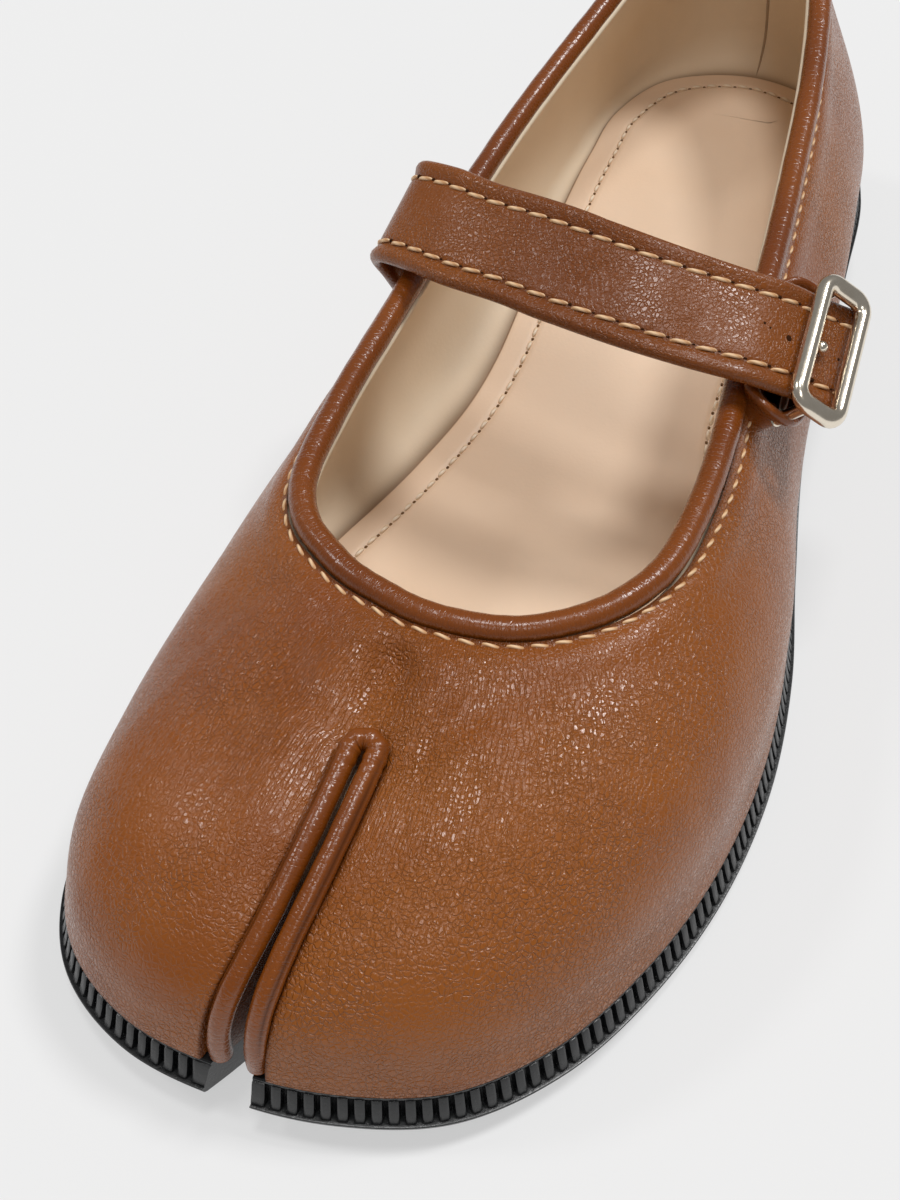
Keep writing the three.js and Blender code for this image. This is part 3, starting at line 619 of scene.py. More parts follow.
    def toe_share(self, x: np.ndarray, up: np.ndarray) -> np.ndarray:
        """The share near the toe tip where a level of the wall is over x."""
        return self.share_where(up, -0.12, 0.12, lambda p: p[..., 0] >= x)

    def roll_over(self, x: np.ndarray, up: np.ndarray) -> np.ndarray:
        """The middle of the split's rolled edge over x.

        Args:
            x: Places across the toe.
            up: Levels of the wall.

        Returns:
            One point a place.
        """
        share = self.toe_share(x, up)
        flat = self.skin(share, up)
        return self.wall_point(share, up, -self.roll_rise * (1 - self.mouth(flat[..., 1])))

    def roll_path(self) -> np.ndarray:
        """The line of the split's rolled edge.

        Returns:
            Its points, up one side, round the closed end and down the other side.
        """

        def side(sign: int) -> np.ndarray:
            """One leg of the line.

            Args:
                sign: -1 for the inner lobe's edge, +1 for the outer lobe's.

            Returns:
                Its points, from the sole up.
            """
            up = np.arange(0.005, 1, 0.03)
            p = self.roll_over(self.split_centre(0), up)
            for _ in range(4):
                y = p[:, 1]
                p = self.roll_over(self.split_centre(y) + sign * self.roll_offset(y), up)
            return p[: int(np.argmax(p[:, 1] > self.split_length - 1))]

        angle = np.radians([-60, -20, 20, 60])
        radius = self.roll_offset(self.split_length)
        x = self.split_centre(self.split_length) + radius * np.sin(angle)
        y = self.split_length + radius * np.cos(angle)
        low, high = np.zeros(4), np.ones(4)
        for _ in range(HALVINGS):
            middle = (low + high) / 2
            past = self.roll_over(x, middle)[:, 1] >= y
            high = np.where(past, middle, high)
            low = np.where(past, low, middle)
        end = self.roll_over(x, (low + high) / 2)
        return np.vstack([side(-1), end, side(1)[::-1]])

    def split_share(self, up: np.ndarray, sign: int, ease: float) -> np.ndarray:
        """Share of the split's edge at levels of the wall, 0 above its closed end.

        Args:
            up: Levels of the wall.
            sign: -1 for the inner lobe's edge, +1 for the outer lobe's.
            ease: Millimetres added to half the split's width.

        Returns:
            One share a level.
        """
        p = self.skin(self.toe_share(self.split_centre(0), up), up)
        share = 0 * up
        for _ in range(5):
            y = p[..., 1]
            open_half = self.split_half(y) + ease
            left = np.clip((self.split_length + ease - y) / open_half, 0, 1)
            half = open_half * np.sqrt(1 - (1 - left) ** 2)
            share = self.toe_share(self.split_centre(y) + sign * half, up)
            p = self.skin(share, up)
        return share


# Colours and nodes


def linear(code: str, alpha: float = 1) -> tuple[float, float, float, float]:
    """Turns an sRGB hex colour into Blender's linear numbers."""
    channels = [int(code[k : k + 2], 16) / 255 for k in (1, 3, 5)]
    return (*((c / 12.92 if c <= 0.04045 else ((c + 0.055) / 1.055) ** 2.4) for c in channels), alpha)


def repeats(size: float) -> float:
    """How often a pattern whose size is in millimetres repeats in a metre."""
    return 1 / (size * MM)


def add(tree: bpy.types.NodeTree, kind: str, inputs: dict | None = None,
        **settings: object) -> bpy.types.Node:
    """Adds one node, with its settings, and its inputs set or linked.

    Args:
        tree: The material's node tree.
        kind: Blender's name for the node type.
        inputs: For each socket's name or number, a value or an output socket to link.
        **settings: Properties of the node.

    Returns:
        The new node.
    """
    made = tree.nodes.new(kind)
    for name, value in settings.items():
        setattr(made, name, value)
    for socket, value in (inputs or {}).items():
        if isinstance(value, bpy.types.NodeSocket):
            tree.links.new(value, made.inputs[socket])
        else:
            made.inputs[socket].default_value = value
    return made


def blank(name: str) -> tuple[bpy.types.Material, bpy.types.NodeTree]:
    """Makes an empty material.

    Args:
        name: Its name.

    Returns:
        The material and its empty node tree.
    """
    material = bpy.data.materials.new(name)
    material.use_nodes = True
    material.node_tree.nodes.clear()
    return material, material.node_tree


def surface(tree: bpy.types.NodeTree, inputs: dict) -> None:
    """Ends a tree with a Principled shader and the output.

    Args:
        tree: The material's node tree.
        inputs: The shader's values and links, as add takes them.
    """
    shader = add(tree, "ShaderNodeBsdfPrincipled", inputs)
    add(tree, "ShaderNodeOutputMaterial", {"Surface": shader.outputs[0]})


COLOUR = 2  # the colour output of a Mix node
A, B = 6, 7  # its colour inputs
BAND_WAVES = 6.3  # how often a wave texture repeats in one unit at scale 1


class Wrinkle(Enum):
    """Which way long wrinkles run over a leather's UV map, as repeats in a millimetre of each axis."""

    ALONG = (0.24, 0.52)
    ACROSS = (1.1, 0.28)


@dataclass(frozen=True)
class GrainLeather:
    """Drum-dyed leather with a fine pebble grain under a thin clear finish.

    The pebbles break up the highlight, and the finish gives it a soft gloss.
    """

    name: str = "leather_drum_dyed_grain"
    colour: str = "#95541C"
    shade: str = "#854514"
    # groove: the colour of the grain's cracks, and of the painted shade that the darkened mark lays into
    # seams, ditches and hollows.
    groove: str = "#54290C"
    pebble: float = 0.85
    depth: float = 0.19
    roughness: tuple[float, float] = (0.23, 0.4)
    coat: float = 0.12
    wrinkle: Wrinkle = Wrinkle.ALONG
    wrinkle_depth: float = 0.13
    glint: float = 0.38
    # Reflection level where the darkened mark paints shade.
    shaded_glint: float = 0.05

    def build(self) -> bpy.types.Material:
        """Makes the material.

        Returns:
            The material, with bump, roughness and colour from one pebble pattern.
        """
        material, tree = blank(self.name)
        place = add(tree, "ShaderNodeTexCoord").outputs["Object"]
        uv = add(tree, "ShaderNodeUVMap", uv_map="flat").outputs[0]
        stir = add(tree, "ShaderNodeTexNoise", {"Vector": place, "Scale": repeats(2.083), "Detail": 3.0})
        stirred = add(tree, "ShaderNodeVectorMath",
                      {0: stir.outputs["Color"], 1: (0.0014, 0.0014, 0.0014), 2: place},
                      operation="MULTIPLY_ADD")
        cells = add(tree, "ShaderNodeTexVoronoi",
                    {"Vector": stirred.outputs[0], "Scale": repeats(self.pebble)},
                    feature="DISTANCE_TO_EDGE")
        tops = add(tree, "ShaderNodeMapRange",
                   {"Value": cells.outputs["Distance"], "From Min": 0.0, "From Max": 0.21},
                   interpolation_type="SMOOTHSTEP")
        patch = add(tree, "ShaderNodeTexNoise", {"Vector": place, "Scale": repeats(18.18), "Detail": 2.0})
        coarse = add(tree, "ShaderNodeMapRange",
                     {"Value": patch.outputs[0], "From Min": 0.36, "From Max": 0.6,
                      "To Min": 0.3, "To Max": 1.0})
        cracked = add(tree, "ShaderNodeMix", {0: coarse.outputs[0], 2: 1.0, 3: tops.outputs[0]})
        fine = add(tree, "ShaderNodeTexNoise", {"Vector": place, "Scale": repeats(0.6667), "Detail": 4.0})
        stretch = tuple(k / MM for k in self.wrinkle.value)
        lengthened = add(tree, "ShaderNodeMapping", {"Vector": uv, "Scale": (*stretch, 1.0)})
        bend = add(tree, "ShaderNodeTexNoise", {"Vector": place, "Scale": repeats(6.667), "Detail": 3.0})
        bent = add(tree, "ShaderNodeVectorMath",
                   {0: bend.outputs["Color"], 1: (2.0, 2.0, 2.0), 2: lengthened.outputs[0]},
                   operation="MULTIPLY_ADD")
        folds = add(tree, "ShaderNodeTexVoronoi", {"Vector": bent.outputs[0], "Scale": 1.0},
                    feature="DISTANCE_TO_EDGE")
        ridge = add(tree, "ShaderNodeMapRange",
                    {"Value": folds.outputs["Distance"], "From Min": 0.0, "From Max": 0.13},
                    interpolation_type="SMOOTHSTEP")
        mask = add(tree, "ShaderNodeAttribute", attribute_name="crumple").outputs["Fac"]
        folded = add(tree, "ShaderNodeMix", {0: mask, 2: 1.0, 3: ridge.outputs[0]})
        grain = add(tree, "ShaderNodeMath",
                    {0: fine.outputs[0], 1: 0.35, 2: cracked.outputs[0]}, operation="MULTIPLY_ADD")
        deepened = add(tree, "ShaderNodeMath", {0: grain.outputs[0], 1: self.depth}, operation="MULTIPLY")
        height = add(tree, "ShaderNodeMath",
                     {0: folded.outputs[0], 1: self.wrinkle_depth, 2: deepened.outputs[0]},
                     operation="MULTIPLY_ADD")
        bump = add(tree, "ShaderNodeBump",
                   {"Height": height.outputs[0], "Distance": MM * 0.65, "Strength": 1.0})
        cloud = add(tree, "ShaderNodeTexNoise", {"Vector": place, "Scale": repeats(38.46), "Detail": 3.0})
        tone = add(tree, "ShaderNodeMapRange",
                   {"Value": cloud.outputs[0], "From Min": 0.35, "From Max": 0.62})
        dyed = add(tree, "ShaderNodeMix",
                   {0: tone.outputs[0], A: linear(self.shade), B: linear(self.colour)}, data_type="RGBA")
        edge = add(tree, "ShaderNodeMapRange",
                   {"Value": cracked.outputs[0], "To Min": 0.12, "To Max": 0.0})
        grooved = add(tree, "ShaderNodeMix",
                      {0: edge.outputs[0], A: dyed.outputs[COLOUR], B: linear(self.groove)},
                      data_type="RGBA")
        # The darkened mark paints shade: it blends the colour towards the groove colour and dims the
        # reflection in seams, ditches and hollows.
        painted_shade = add(tree, "ShaderNodeAttribute", attribute_name="darkened").outputs["Fac"]
        toned = add(tree, "ShaderNodeMix",
                    {0: painted_shade, A: grooved.outputs[COLOUR], B: linear(self.groove)}, data_type="RGBA")
        shine = add(tree, "ShaderNodeMapRange",
                    {"Value": tops.outputs[0], "To Min": self.roughness[1], "To Max": self.roughness[0]})
        glint = add(tree, "ShaderNodeMapRange",
                    {"Value": painted_shade, "To Min": self.glint, "To Max": self.shaded_glint})
        surface(tree, {
            "Base Color": toned.outputs[COLOUR],
            "Roughness": shine.outputs[0],
            "Specular IOR Level": glint.outputs[0],
            "Coat Weight": self.coat,
            "Coat Roughness": 0.18,
            "Coat Normal": bump.outputs[0],
            "Normal": bump.outputs[0],
        })
        return material


@dataclass(frozen=True)
class SmoothLeather:
    """Thin split leather that lines the shoe: pale, close and nearly matt, with faint rubbed cloudiness."""

    name: str = "leather_lining_split"
    colour: str = "#F2E1C8"
    shade: str = "#EAD4B5"
    roughness: float = 0.6
    depth: float = 0.05
    # Colour of the painted shade that the darkened mark lays on the lining and the sock, such as under the
    # binding and at the sock's edge.
    painted_shade: str = "#6E4A28"

    def build(self) -> bpy.types.Material:
        """Makes the material.

        Returns:
            The material, with two noises for colour and bump.
        """
        material, tree = blank(self.name)
        place = add(tree, "ShaderNodeTexCoord").outputs["Object"]
        cloud = add(tree, "ShaderNodeTexNoise", {"Vector": place, "Scale": repeats(22.22), "Detail": 4.0})
        fine = add(tree, "ShaderNodeTexNoise", {"Vector": place, "Scale": repeats(0.625), "Detail": 4.0})
        tone = add(tree, "ShaderNodeMix",
                   {0: cloud.outputs[0], A: linear(self.shade), B: linear(self.colour)}, data_type="RGBA")
        # The darkened mark paints shade: it blends the colour towards the darker shade colour set above.
        painted_shade = add(tree, "ShaderNodeAttribute", attribute_name="darkened").outputs["Fac"]
        toned = add(tree, "ShaderNodeMix",
                    {0: painted_shade, A: tone.outputs[COLOUR], B: linear(self.painted_shade)}, data_type="RGBA")
        bump = add(tree, "ShaderNodeBump",
                   {"Height": fine.outputs[0], "Distance": MM * self.depth, "Strength": 0.7})
        rubbed = add(tree, "ShaderNodeMapRange",
                     {"Value": fine.outputs[0], "To Min": self.roughness - 0.08,
                      "To Max": self.roughness + 0.1})
        surface(tree, {
            "Base Color": toned.outputs[COLOUR],
            "Roughness": rubbed.outputs[0],
            "Normal": bump.outputs[0],
        })
        return material


@dataclass(frozen=True)
class MouldedRubber:
    """Black rubber from a blasted mould: dark, with a fine dull tooth and a slight sheen."""

    name: str = "rubber_moulded_black"
    colour: str = "#0E0F10"
    dust: str = "#191A1C"
    roughness: tuple[float, float] = (0.22, 0.36)

    def build(self) -> bpy.types.Material:
        """Makes the material.

        Returns:
            The material, with a fine noise for bump and roughness.
        """
        material, tree = blank(self.name)
        place = add(tree, "ShaderNodeTexCoord").outputs["Object"]
        fine = add(tree, "ShaderNodeTexNoise", {"Vector": place, "Scale": repeats(0.5263), "Detail": 4.0})
        cloud = add(tree, "ShaderNodeTexNoise", {"Vector": place, "Scale": repeats(16.67), "Detail": 3.0})
        tone = add(tree, "ShaderNodeMix",
                   {0: cloud.outputs[0], A: linear(self.colour), B: linear(self.dust)}, data_type="RGBA")
        shine = add(tree, "ShaderNodeMapRange",
                    {"Value": fine.outputs[0], "To Min": self.roughness[0], "To Max": self.roughness[1]})
        bump = add(tree, "ShaderNodeBump",
                   {"Height": fine.outputs[0], "Distance": MM * 0.06, "Strength": 0.6})
        surface(tree, {
            "Base Color": tone.outputs[COLOUR],
            "Roughness": shine.outputs[0],
            "Specular IOR Level": 0.5,
            "Normal": bump.outputs[0],
        })
        return material


@dataclass(frozen=True)
class PlatedNickel:
    """Pale warm nickel plate, polished: it mirrors the studio with a faint brushed haze."""

    name: str = "nickel_polished_plate"
    colour: str = "#F2E8D8"
    shade: str = "#E6DAC7"
    roughness: tuple[float, float] = (0.14, 0.26)

    def build(self) -> bpy.types.Material:
        """Makes the material.

        Returns:
            A metal whose roughness varies a little with fine handling marks.
        """
        material, tree = blank(self.name)
        place = add(tree, "ShaderNodeTexCoord").outputs["Object"]
        marks = add(tree, "ShaderNodeTexNoise", {"Vector": place, "Scale": repeats(1.429), "Detail": 4.0})
        haze = add(tree, "ShaderNodeMapRange",
                   {"Value": marks.outputs[0], "To Min": self.roughness[0], "To Max": self.roughness[1]})
        tone = add(tree, "ShaderNodeMix",
                   {0: marks.outputs[0], A: linear(self.shade), B: linear(self.colour)}, data_type="RGBA")
        surface(tree, {
            "Base Color": tone.outputs[COLOUR],
            "Metallic": 1.0,
            "Roughness": haze.outputs[0],
        })
        return material


@dataclass(frozen=True)
class WaxedThread:
    """Twisted, waxed sewing thread: pale strands with darker valleys wound round each stitch."""

    name: str = "thread_waxed_tan"
    colour: str = "#F2CDA2"
    shade: str = "#CF9C6B"
    twist: float = 0.55
    slant: float = 0.8

    def build(self) -> bpy.types.Material:
        """Makes the material.

        Returns:
            The material, with slanted bands over the stitch's UV map.
        """
        material, tree = blank(self.name)
        uv = add(tree, "ShaderNodeUVMap", uv_map="flat").outputs[0]
        turned = add(tree, "ShaderNodeMapping", {"Vector": uv, "Rotation": (0, 0, self.slant)})
        bands = add(tree, "ShaderNodeTexWave",
                    {"Vector": turned.outputs[0], "Scale": repeats(self.twist) / BAND_WAVES},
                    wave_type="BANDS", bands_direction="X")
        tone = add(tree, "ShaderNodeMix",
                   {0: bands.outputs["Fac"], A: linear(self.shade), B: linear(self.colour)},
                   data_type="RGBA")
        bump = add(tree, "ShaderNodeBump",
                   {"Height": bands.outputs["Fac"], "Distance": MM * 0.08, "Strength": 0.8})
        surface(tree, {
            "Base Color": tone.outputs[COLOUR],
            "Roughness": 0.55,
            "Normal": bump.outputs[0],
        })
        return material


@dataclass(frozen=True)
class NeedleHole:
    """The dark inside of a needle hole or a shut seam, where little light gets in."""

    name: str = "leather_needle_hole_dark"
    colour: str = "#3E2210"
    shade: str = "#2C170A"

    def build(self) -> bpy.types.Material:
        """Makes the material.

        Returns:
            Dark brown with a faint speckle.
        """
        material, tree = blank(self.name)
        place = add(tree, "ShaderNodeTexCoord").outputs["Object"]
        speck = add(tree, "ShaderNodeTexNoise", {"Vector": place, "Scale": repeats(0.6667)})
        tone = add(tree, "ShaderNodeMix",
                   {0: speck.outputs[0], A: linear(self.colour), B: linear(self.shade)}, data_type="RGBA")
        surface(tree, {"Base Color": tone.outputs[COLOUR], "Roughness": 0.9,
                       "Specular IOR Level": 0.1})
        return material


@dataclass(frozen=True)
class PaleFloor:
    """Matt white film that glows: its glow is painted light, not shadowed, so the shoe's shadow stays
    faint.
    """

    name: str = "film_matt_white"
    colour: str = "#A0A0A0"
    shade: str = "#9E9E9E"
    light: str = "#FFFFFF"
    # Emission that paints light onto the floor, lifting the shoe's shadow.
    glow: float = 0.5

    def build(self) -> bpy.types.Material:
        """Makes the material.

        Returns:
            White with the faintest unevenness.
        """
        material, tree = blank(self.name)
        place = add(tree, "ShaderNodeTexCoord").outputs["Object"]
        cloud = add(tree, "ShaderNodeTexNoise", {"Vector": place, "Scale": repeats(333.3)})
        tone = add(tree, "ShaderNodeMix",
                   {0: cloud.outputs[0], A: linear(self.shade), B: linear(self.colour)}, data_type="RGBA")
        surface(tree, {"Base Color": tone.outputs[COLOUR], "Roughness": 0.9,
                       "Specular IOR Level": 0.0, "Emission Color": linear(self.light),
                       "Emission Strength": self.glow})
        return material


@dataclass
class Finishes:
    """All finishes, built once and shared by the pieces."""

    leather: bpy.types.Material = field(init=False)
    edge: bpy.types.Material = field(init=False)
    strap: bpy.types.Material = field(init=False)
    lining: bpy.types.Material = field(init=False)
    sock: bpy.types.Material = field(init=False)
    rubber: bpy.types.Material = field(init=False)
    nickel: bpy.types.Material = field(init=False)
    thread: bpy.types.Material = field(init=False)
    sock_thread: bpy.types.Material = field(init=False)
    hole: bpy.types.Material = field(init=False)
    sock_hole: bpy.types.Material = field(init=False)

    def __post_init__(self) -> None:
        """Builds every finish."""
        self.leather = GrainLeather().build()
        self.edge = GrainLeather(
            name="leather_turned_edge", colour="#86450F", shade="#71360B", groove="#3E1D08",
            pebble=0.7, depth=0.014, roughness=(0.24, 0.32), coat=0.3,
            wrinkle=Wrinkle.ACROSS, wrinkle_depth=0.06).build()
        self.strap = GrainLeather(
            name="leather_strap_grain", colour="#8C4C16", shade="#773D0F", groove="#4A2409",
            pebble=0.7, depth=0.14, roughness=(0.27, 0.4), coat=0.14, wrinkle_depth=0.05).build()
        self.lining = SmoothLeather().build()
        self.sock = SmoothLeather(name="leather_sock_smooth", colour="#EED5BB", shade="#E6C8AA",
                                  roughness=0.52, depth=0.04).build()
        self.rubber = MouldedRubber().build()
        self.nickel = PlatedNickel().build()
        self.thread = WaxedThread().build()
        self.sock_thread = WaxedThread(name="thread_sock_beige", colour="#F5E6D0", shade="#DEC3A0").build()
        self.hole = NeedleHole().build()
        self.sock_hole = NeedleHole(name="lining_needle_hole_brown", colour="#94704A").build()


class Slot(Enum):
    """The record's material slots."""

    LEATHER = "leather_brown"
    RUBBER = "rubber_black"
    LINING = "lining_beige"
    NICKEL = "nickel"


def make_piece(last: Last, name: str, sheet: Sheet, material: bpy.types.Material, slot: Slot,
               *nodes: str, merge: float = 0) -> bpy.types.Object:
    """Turns a sheet into a Blender object that rides on the shoe.

    Args:
        last: Gives the place of the toe tip's frame.
        name: The piece's name.
        sheet: Its points and faces.
        material: Its finish.
        slot: The record's slot of that finish; not used.
        *nodes: CAD nodes that the piece stands for.
        merge: Distance under which points are joined, in millimetres.

    Returns:
        The object, smooth shaded, at the origin.
    """
    mesh = bpy.data.meshes.new(name)
    mesh.from_pydata(last.placed(sheet.points).tolist(), [], sheet.faces)
    if sheet.uv is not None:
        layer = mesh.uv_layers.new(name="flat")
        layer.data.foreach_set("uv", sheet.uv.ravel())
    for label, values in sheet.marks.items():
        mark = mesh.attributes.new(label, "FLOAT", "POINT")
        mark.data.foreach_set("value", np.asarray(values, dtype=float).ravel())
    if merge:
        cleaner = bmesh.new()
        cleaner.from_mesh(mesh)
        bmesh.ops.remove_doubles(cleaner, verts=cleaner.verts, dist=merge * MM)
        cleaner.to_mesh(mesh)
        cleaner.free()
    mesh.polygons.foreach_set("use_smooth", np.ones(len(mesh.polygons), dtype=bool))
    mesh.materials.append(material)
    mesh.update()
    piece = bpy.data.objects.new(name, mesh)
    bpy.context.scene.collection.objects.link(piece)
    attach(piece, "root")
    if nodes:
        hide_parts(*nodes)
    LOG.info("%s: %d faces", name, len(mesh.polygons))
    return piece


@dataclass
class StitchRow:
    """A row of stitches: each is a short thread that dives into the leather at both ends."""

    length: float
    pitch: float
    radius: float
    sink: float
    slant: float
    hole_length: float = 0.7
    sides: int = 8
    steps: int = 9

    def lay(self, path: np.ndarray, out: np.ndarray, closed: bool) -> tuple[Sheet, Sheet]:
        """Lays stitches along a line on a surface.

        Each stitch is centre + along * s * length / 2 + out * (radius * (1 - s^2) - sink * s^4) with
        s from -1 to 1, and is as thick as a long ellipsoid.

        Args:
            path: Points on the surface.
            out: Unit vectors out of the surface there.
            closed: Whether the line closes on itself.

        Returns:
            The threads, and the needle holes between them.
        """
        index, pitch = evenly(path, self.pitch, closed)
        step = 0.25
        after, before = (pick(path, np.clip(index + k, 0, len(path) - (0 if closed else 1)), closed)
                         for k in (step, -step))
        centre = pick(path, index, closed)
        along = unit(after - before)
        away = unit(pick(out, index, closed))
        side = unit(np.cross(away, along))
        along = unit(along + side * self.slant)
        side = unit(np.cross(away, along))
        threads = self.pills(centre, along, side, away, self.length, self.radius, True)
        between = centre + along * pitch / 2
        holes = self.pills(between, along, side, away, self.hole_length, self.radius * 0.9, False)
        return threads, holes

    def pills(self, centre: np.ndarray, along: np.ndarray, side: np.ndarray, away: np.ndarray,
              length: float, radius: float, arched: bool) -> Sheet:
        """Long ellipsoids, all in one sheet.

        Args:
            centre: Their middles, one a row.
            along: Their long axes.
            side: Unit vectors square to along, level with the surface.
            away: Unit vectors out of the surface.
            length: Their length.
            radius: Half their thickness.
            arched: Whether the ends dive, as a stitch's do, or the whole lies sunk, as a hole's does.

        Returns:
            The sheet.
        """
        s = np.sin(np.linspace(-np.pi / 2, np.pi / 2, self.steps))
        thick = radius * np.maximum(1 - s**4, 0.0004) ** 0.5
        lift = radius * 0.5 * (1 - s**2) - self.sink * s**4 if arched else 0 * s - radius * 0.72
        angle = np.linspace(0, 2 * np.pi, self.sides, endpoint=False)
        spine = (centre[:, None] + along[:, None] * (s * length / 2)[None, :, None]
                 + away[:, None] * lift[None, :, None])
        ring = (side[:, None, None] * np.cos(angle)[None, None, :, None]
                + away[:, None, None] * np.sin(angle)[None, None, :, None])
        points = spine[:, :, None] + ring * thick[None, :, None, None]
        one = grid(self.steps, self.sides, wrap_columns=True)
        faces = (one.faces[None] + (np.arange(len(centre)) * self.steps * self.sides)[:, None, None])
        size = np.array([length / self.steps, 2 * np.pi * radius / self.sides]) * MM
        uv = np.tile(one.corners.reshape(-1, 2) * size, (len(centre), 1))
        return Sheet(points.reshape(-1, 3), faces.reshape(-1, 4).tolist(), uv)


class Crease(NamedTuple):
    """A soft fold in the upper, in shares: half the ball width across, the length along."""

    start: tuple[float, float]
    end: tuple[float, float]
    width: float
    depth: float


@dataclass
class Upper:
    """The leather upper, its lining and the walls of the toe split."""

    last: Last
    columns: int = 660
    gather: float = 0.62
    rim_rows: int = 16
    rim_depth: float = 6.4
    wall_rows: int = 66
    reach: float = 0.07
    under_roll: float = 0.9
    groove_place: float = 0.1
    groove_width: float = 0.7
    groove_depth: float = 0.3
    puff_place: float = 2.9
    puff_width: float = 2.4
    puff_height: float = 0.4
    foot_bulge: float = 0.85
    # seam_place and seam_width set the painted shade beside the split's rolled edge; rim_shadow sets the
    # painted shade just under the binding.
    seam_place: float = 1.75
    seam_width: float = 0.4
    rim_shadow: float = 0.1
    creases: tuple[Crease, ...] = (
        Crease((-0.1, 0.232), (-0.075, 0.164), 3.2, 2.0),
        Crease((-0.27, 0.22), (-0.15, 0.166), 2.6, 0.5),
        Crease((0.02, 0.205), (-0.02, 0.165), 2.0, 0.4),
        Crease((-0.36, 0.185), (-0.18, 0.15), 2.2, 0.4),
        Crease((0.24, 0.2), (0.05, 0.16), 2.2, 0.35),
        Crease((-0.98, 0.47), (-0.66, 0.43), 4.5, 0.5),
    )

    def base(self) -> np.ndarray:
        """Shares of the columns, gathered towards the split."""
        k = np.linspace(0, 1, self.columns)
        return k - self.gather * np.sin(2 * np.pi * k) / (2 * np.pi)

    def levels(self, share: np.ndarray) -> np.ndarray:
        """Levels of the rows: close together near the rim, even below.

        Args:
            share: Shares of the way round.

        Returns:
            Levels, rows by shares.
        """
        speed = self.last.rim_speed(share)
        near = np.linspace(self.rim_depth, 0, self.rim_rows)[:, None] / speed
        start = 1 - near[0]
        low = np.linspace(0, 1, self.wall_rows, endpoint=False)[:, None] * start
        return np.vstack([low, 1 - near])

    def warped(self, ease: float) -> tuple[np.ndarray, np.ndarray]:
        """Shares and levels of a grid that parts at the toe split.

        Args:
            ease: Millimetres added to half the split's width.

        Returns:
            Share and level of each point, rows by columns.
        """
        base = self.base()
        up = self.levels(base)
        right = self.last.split_share(up[:, 0], 1, ease)
        left = self.last.split_share(up[:, -1], -1, ease)
        near = np.clip(1 - base / self.reach, 0, 1) ** 2
        far = np.clip(1 - (1 - base) / self.reach, 0, 1) ** 2
        return base[None] + right[:, None] * near[None] + left[:, None] * far[None], up

    def relief(self, p: np.ndarray, share: np.ndarray, up: np.ndarray) -> np.ndarray:
        """Depth pressed into the skin: the roll's bed, the stitch groove, its puffed edge, the creases.

        Args:
            p: Points of the plain skin.
            share: Their shares of the way round.
            up: Their levels.

        Returns:
            Millimetres inwards, one a point.
        """
        last = self.last
        x, y = p[..., 0], p[..., 1]
        centre = last.split_centre(y)
        beside = np.abs(x - centre) - last.roll_offset(y)
        round_end = np.hypot(x - last.split_centre(last.split_length), y - last.split_length)
        away = np.where(y < last.split_length, beside, round_end - last.roll_offset(last.split_length))
        bed = last.roll_radius + 0.25
        sunk = np.sqrt(np.clip(bed**2 - away**2, 0, None)) - last.roll_rise * (1 - last.mouth(y))
        depth = np.where(y < last.split_length + 6, np.maximum(sunk, 0), 0)
        below = (1 - up) * last.rim_speed(share)
        sewn = last.stitch_place(y)
        depth += self.groove_depth * bell(below - sewn - self.groove_place, self.groove_width)
        depth -= self.puff_height * bell(below - sewn - self.puff_place, self.puff_width)
        depth -= self.foot_bulge * bell(up, 0.045) * (away > 1.5)
        inside = smoothstep(below, 1.5, 6)
        for crease in self.creases:
            a = np.array(crease.start) * [last.half_ball, last.length]
            b = np.array(crease.end) * [last.half_ball, last.length]
            line = b - a
            size = np.linalg.norm(line)
            t = ((x - a[0]) * line[0] + (y - a[1]) * line[1]) / size**2
            off = ((x - a[0]) * line[1] - (y - a[1]) * line[0]) / size
            fade = bell(t - 0.5, 0.45) * inside
            depth += crease.depth * bell(off, crease.width) * fade
            depth -= crease.depth * 0.5 * bell(np.abs(off) - 2 * crease.width, crease.width) * fade
        return depth

    def crumple(self, p: np.ndarray) -> np.ndarray:
        """How strongly long wrinkles show: round the split's end, over both toes, and at the waist.

        Args:
            p: Points of the skin.

        Returns:
            Strengths from 0 to 1.
        """
        last = self.last
        x, y = p[..., 0] / last.half_ball, p[..., 1] / last.length
        end = bell(np.hypot((x + 0.1) * 0.7, (y - 0.16) * 5.2), 0.42)
        outer = 0.8 * bell(np.hypot(x - 0.45, (y - 0.17) * 4.5), 0.42)
        inner = 0.55 * bell(np.hypot(x + 0.6, (y - 0.2) * 4.5), 0.35)
        waist = 0.5 * bell(np.hypot(x + 0.75, (y - 0.4) * 5), 0.4)
        return np.clip(end + outer + inner + waist, 0, 1)

    def build(self, finishes: Finishes) -> None:
        """Makes the outer leather, the lining and the split's walls.

        Args:
            finishes: The shared finishes.
        """
        last = self.last
        share, up = self.warped(self.under_roll)
        flat = last.skin(share, up)
        points = last.wall_point(share, up, self.relief(flat, share, up))
        outer = Sheet.of_grid(points, size=(1.1, 0.95))
        # Painted shade: darkened in the seam's ditch beside the split's rolled edge, and in a thin band
        # just under the rim, below the binding.
        beside = np.abs(flat[..., 0] - last.split_centre(flat[..., 1])) - last.roll_offset(flat[..., 1])
        darkened = 0.9 * bell(beside - self.seam_place, self.seam_width)
        darkened *= 1 - smoothstep(flat[..., 1], last.split_length - 2, last.split_length + 1)
        below = (1 - up) * last.rim_speed(share)
        darkened = np.maximum(darkened, 0.8 * bell(below - self.rim_shadow, 0.5))
        outer.marks = {"crumple": self.crumple(flat).ravel(), "darkened": darkened.ravel()}
        make_piece(last, "upper_leather", outer, finishes.leather, Slot.LEATHER, "upper", merge=1e-3)
        self.build_lining(finishes)
        self.build_split_walls(finishes)

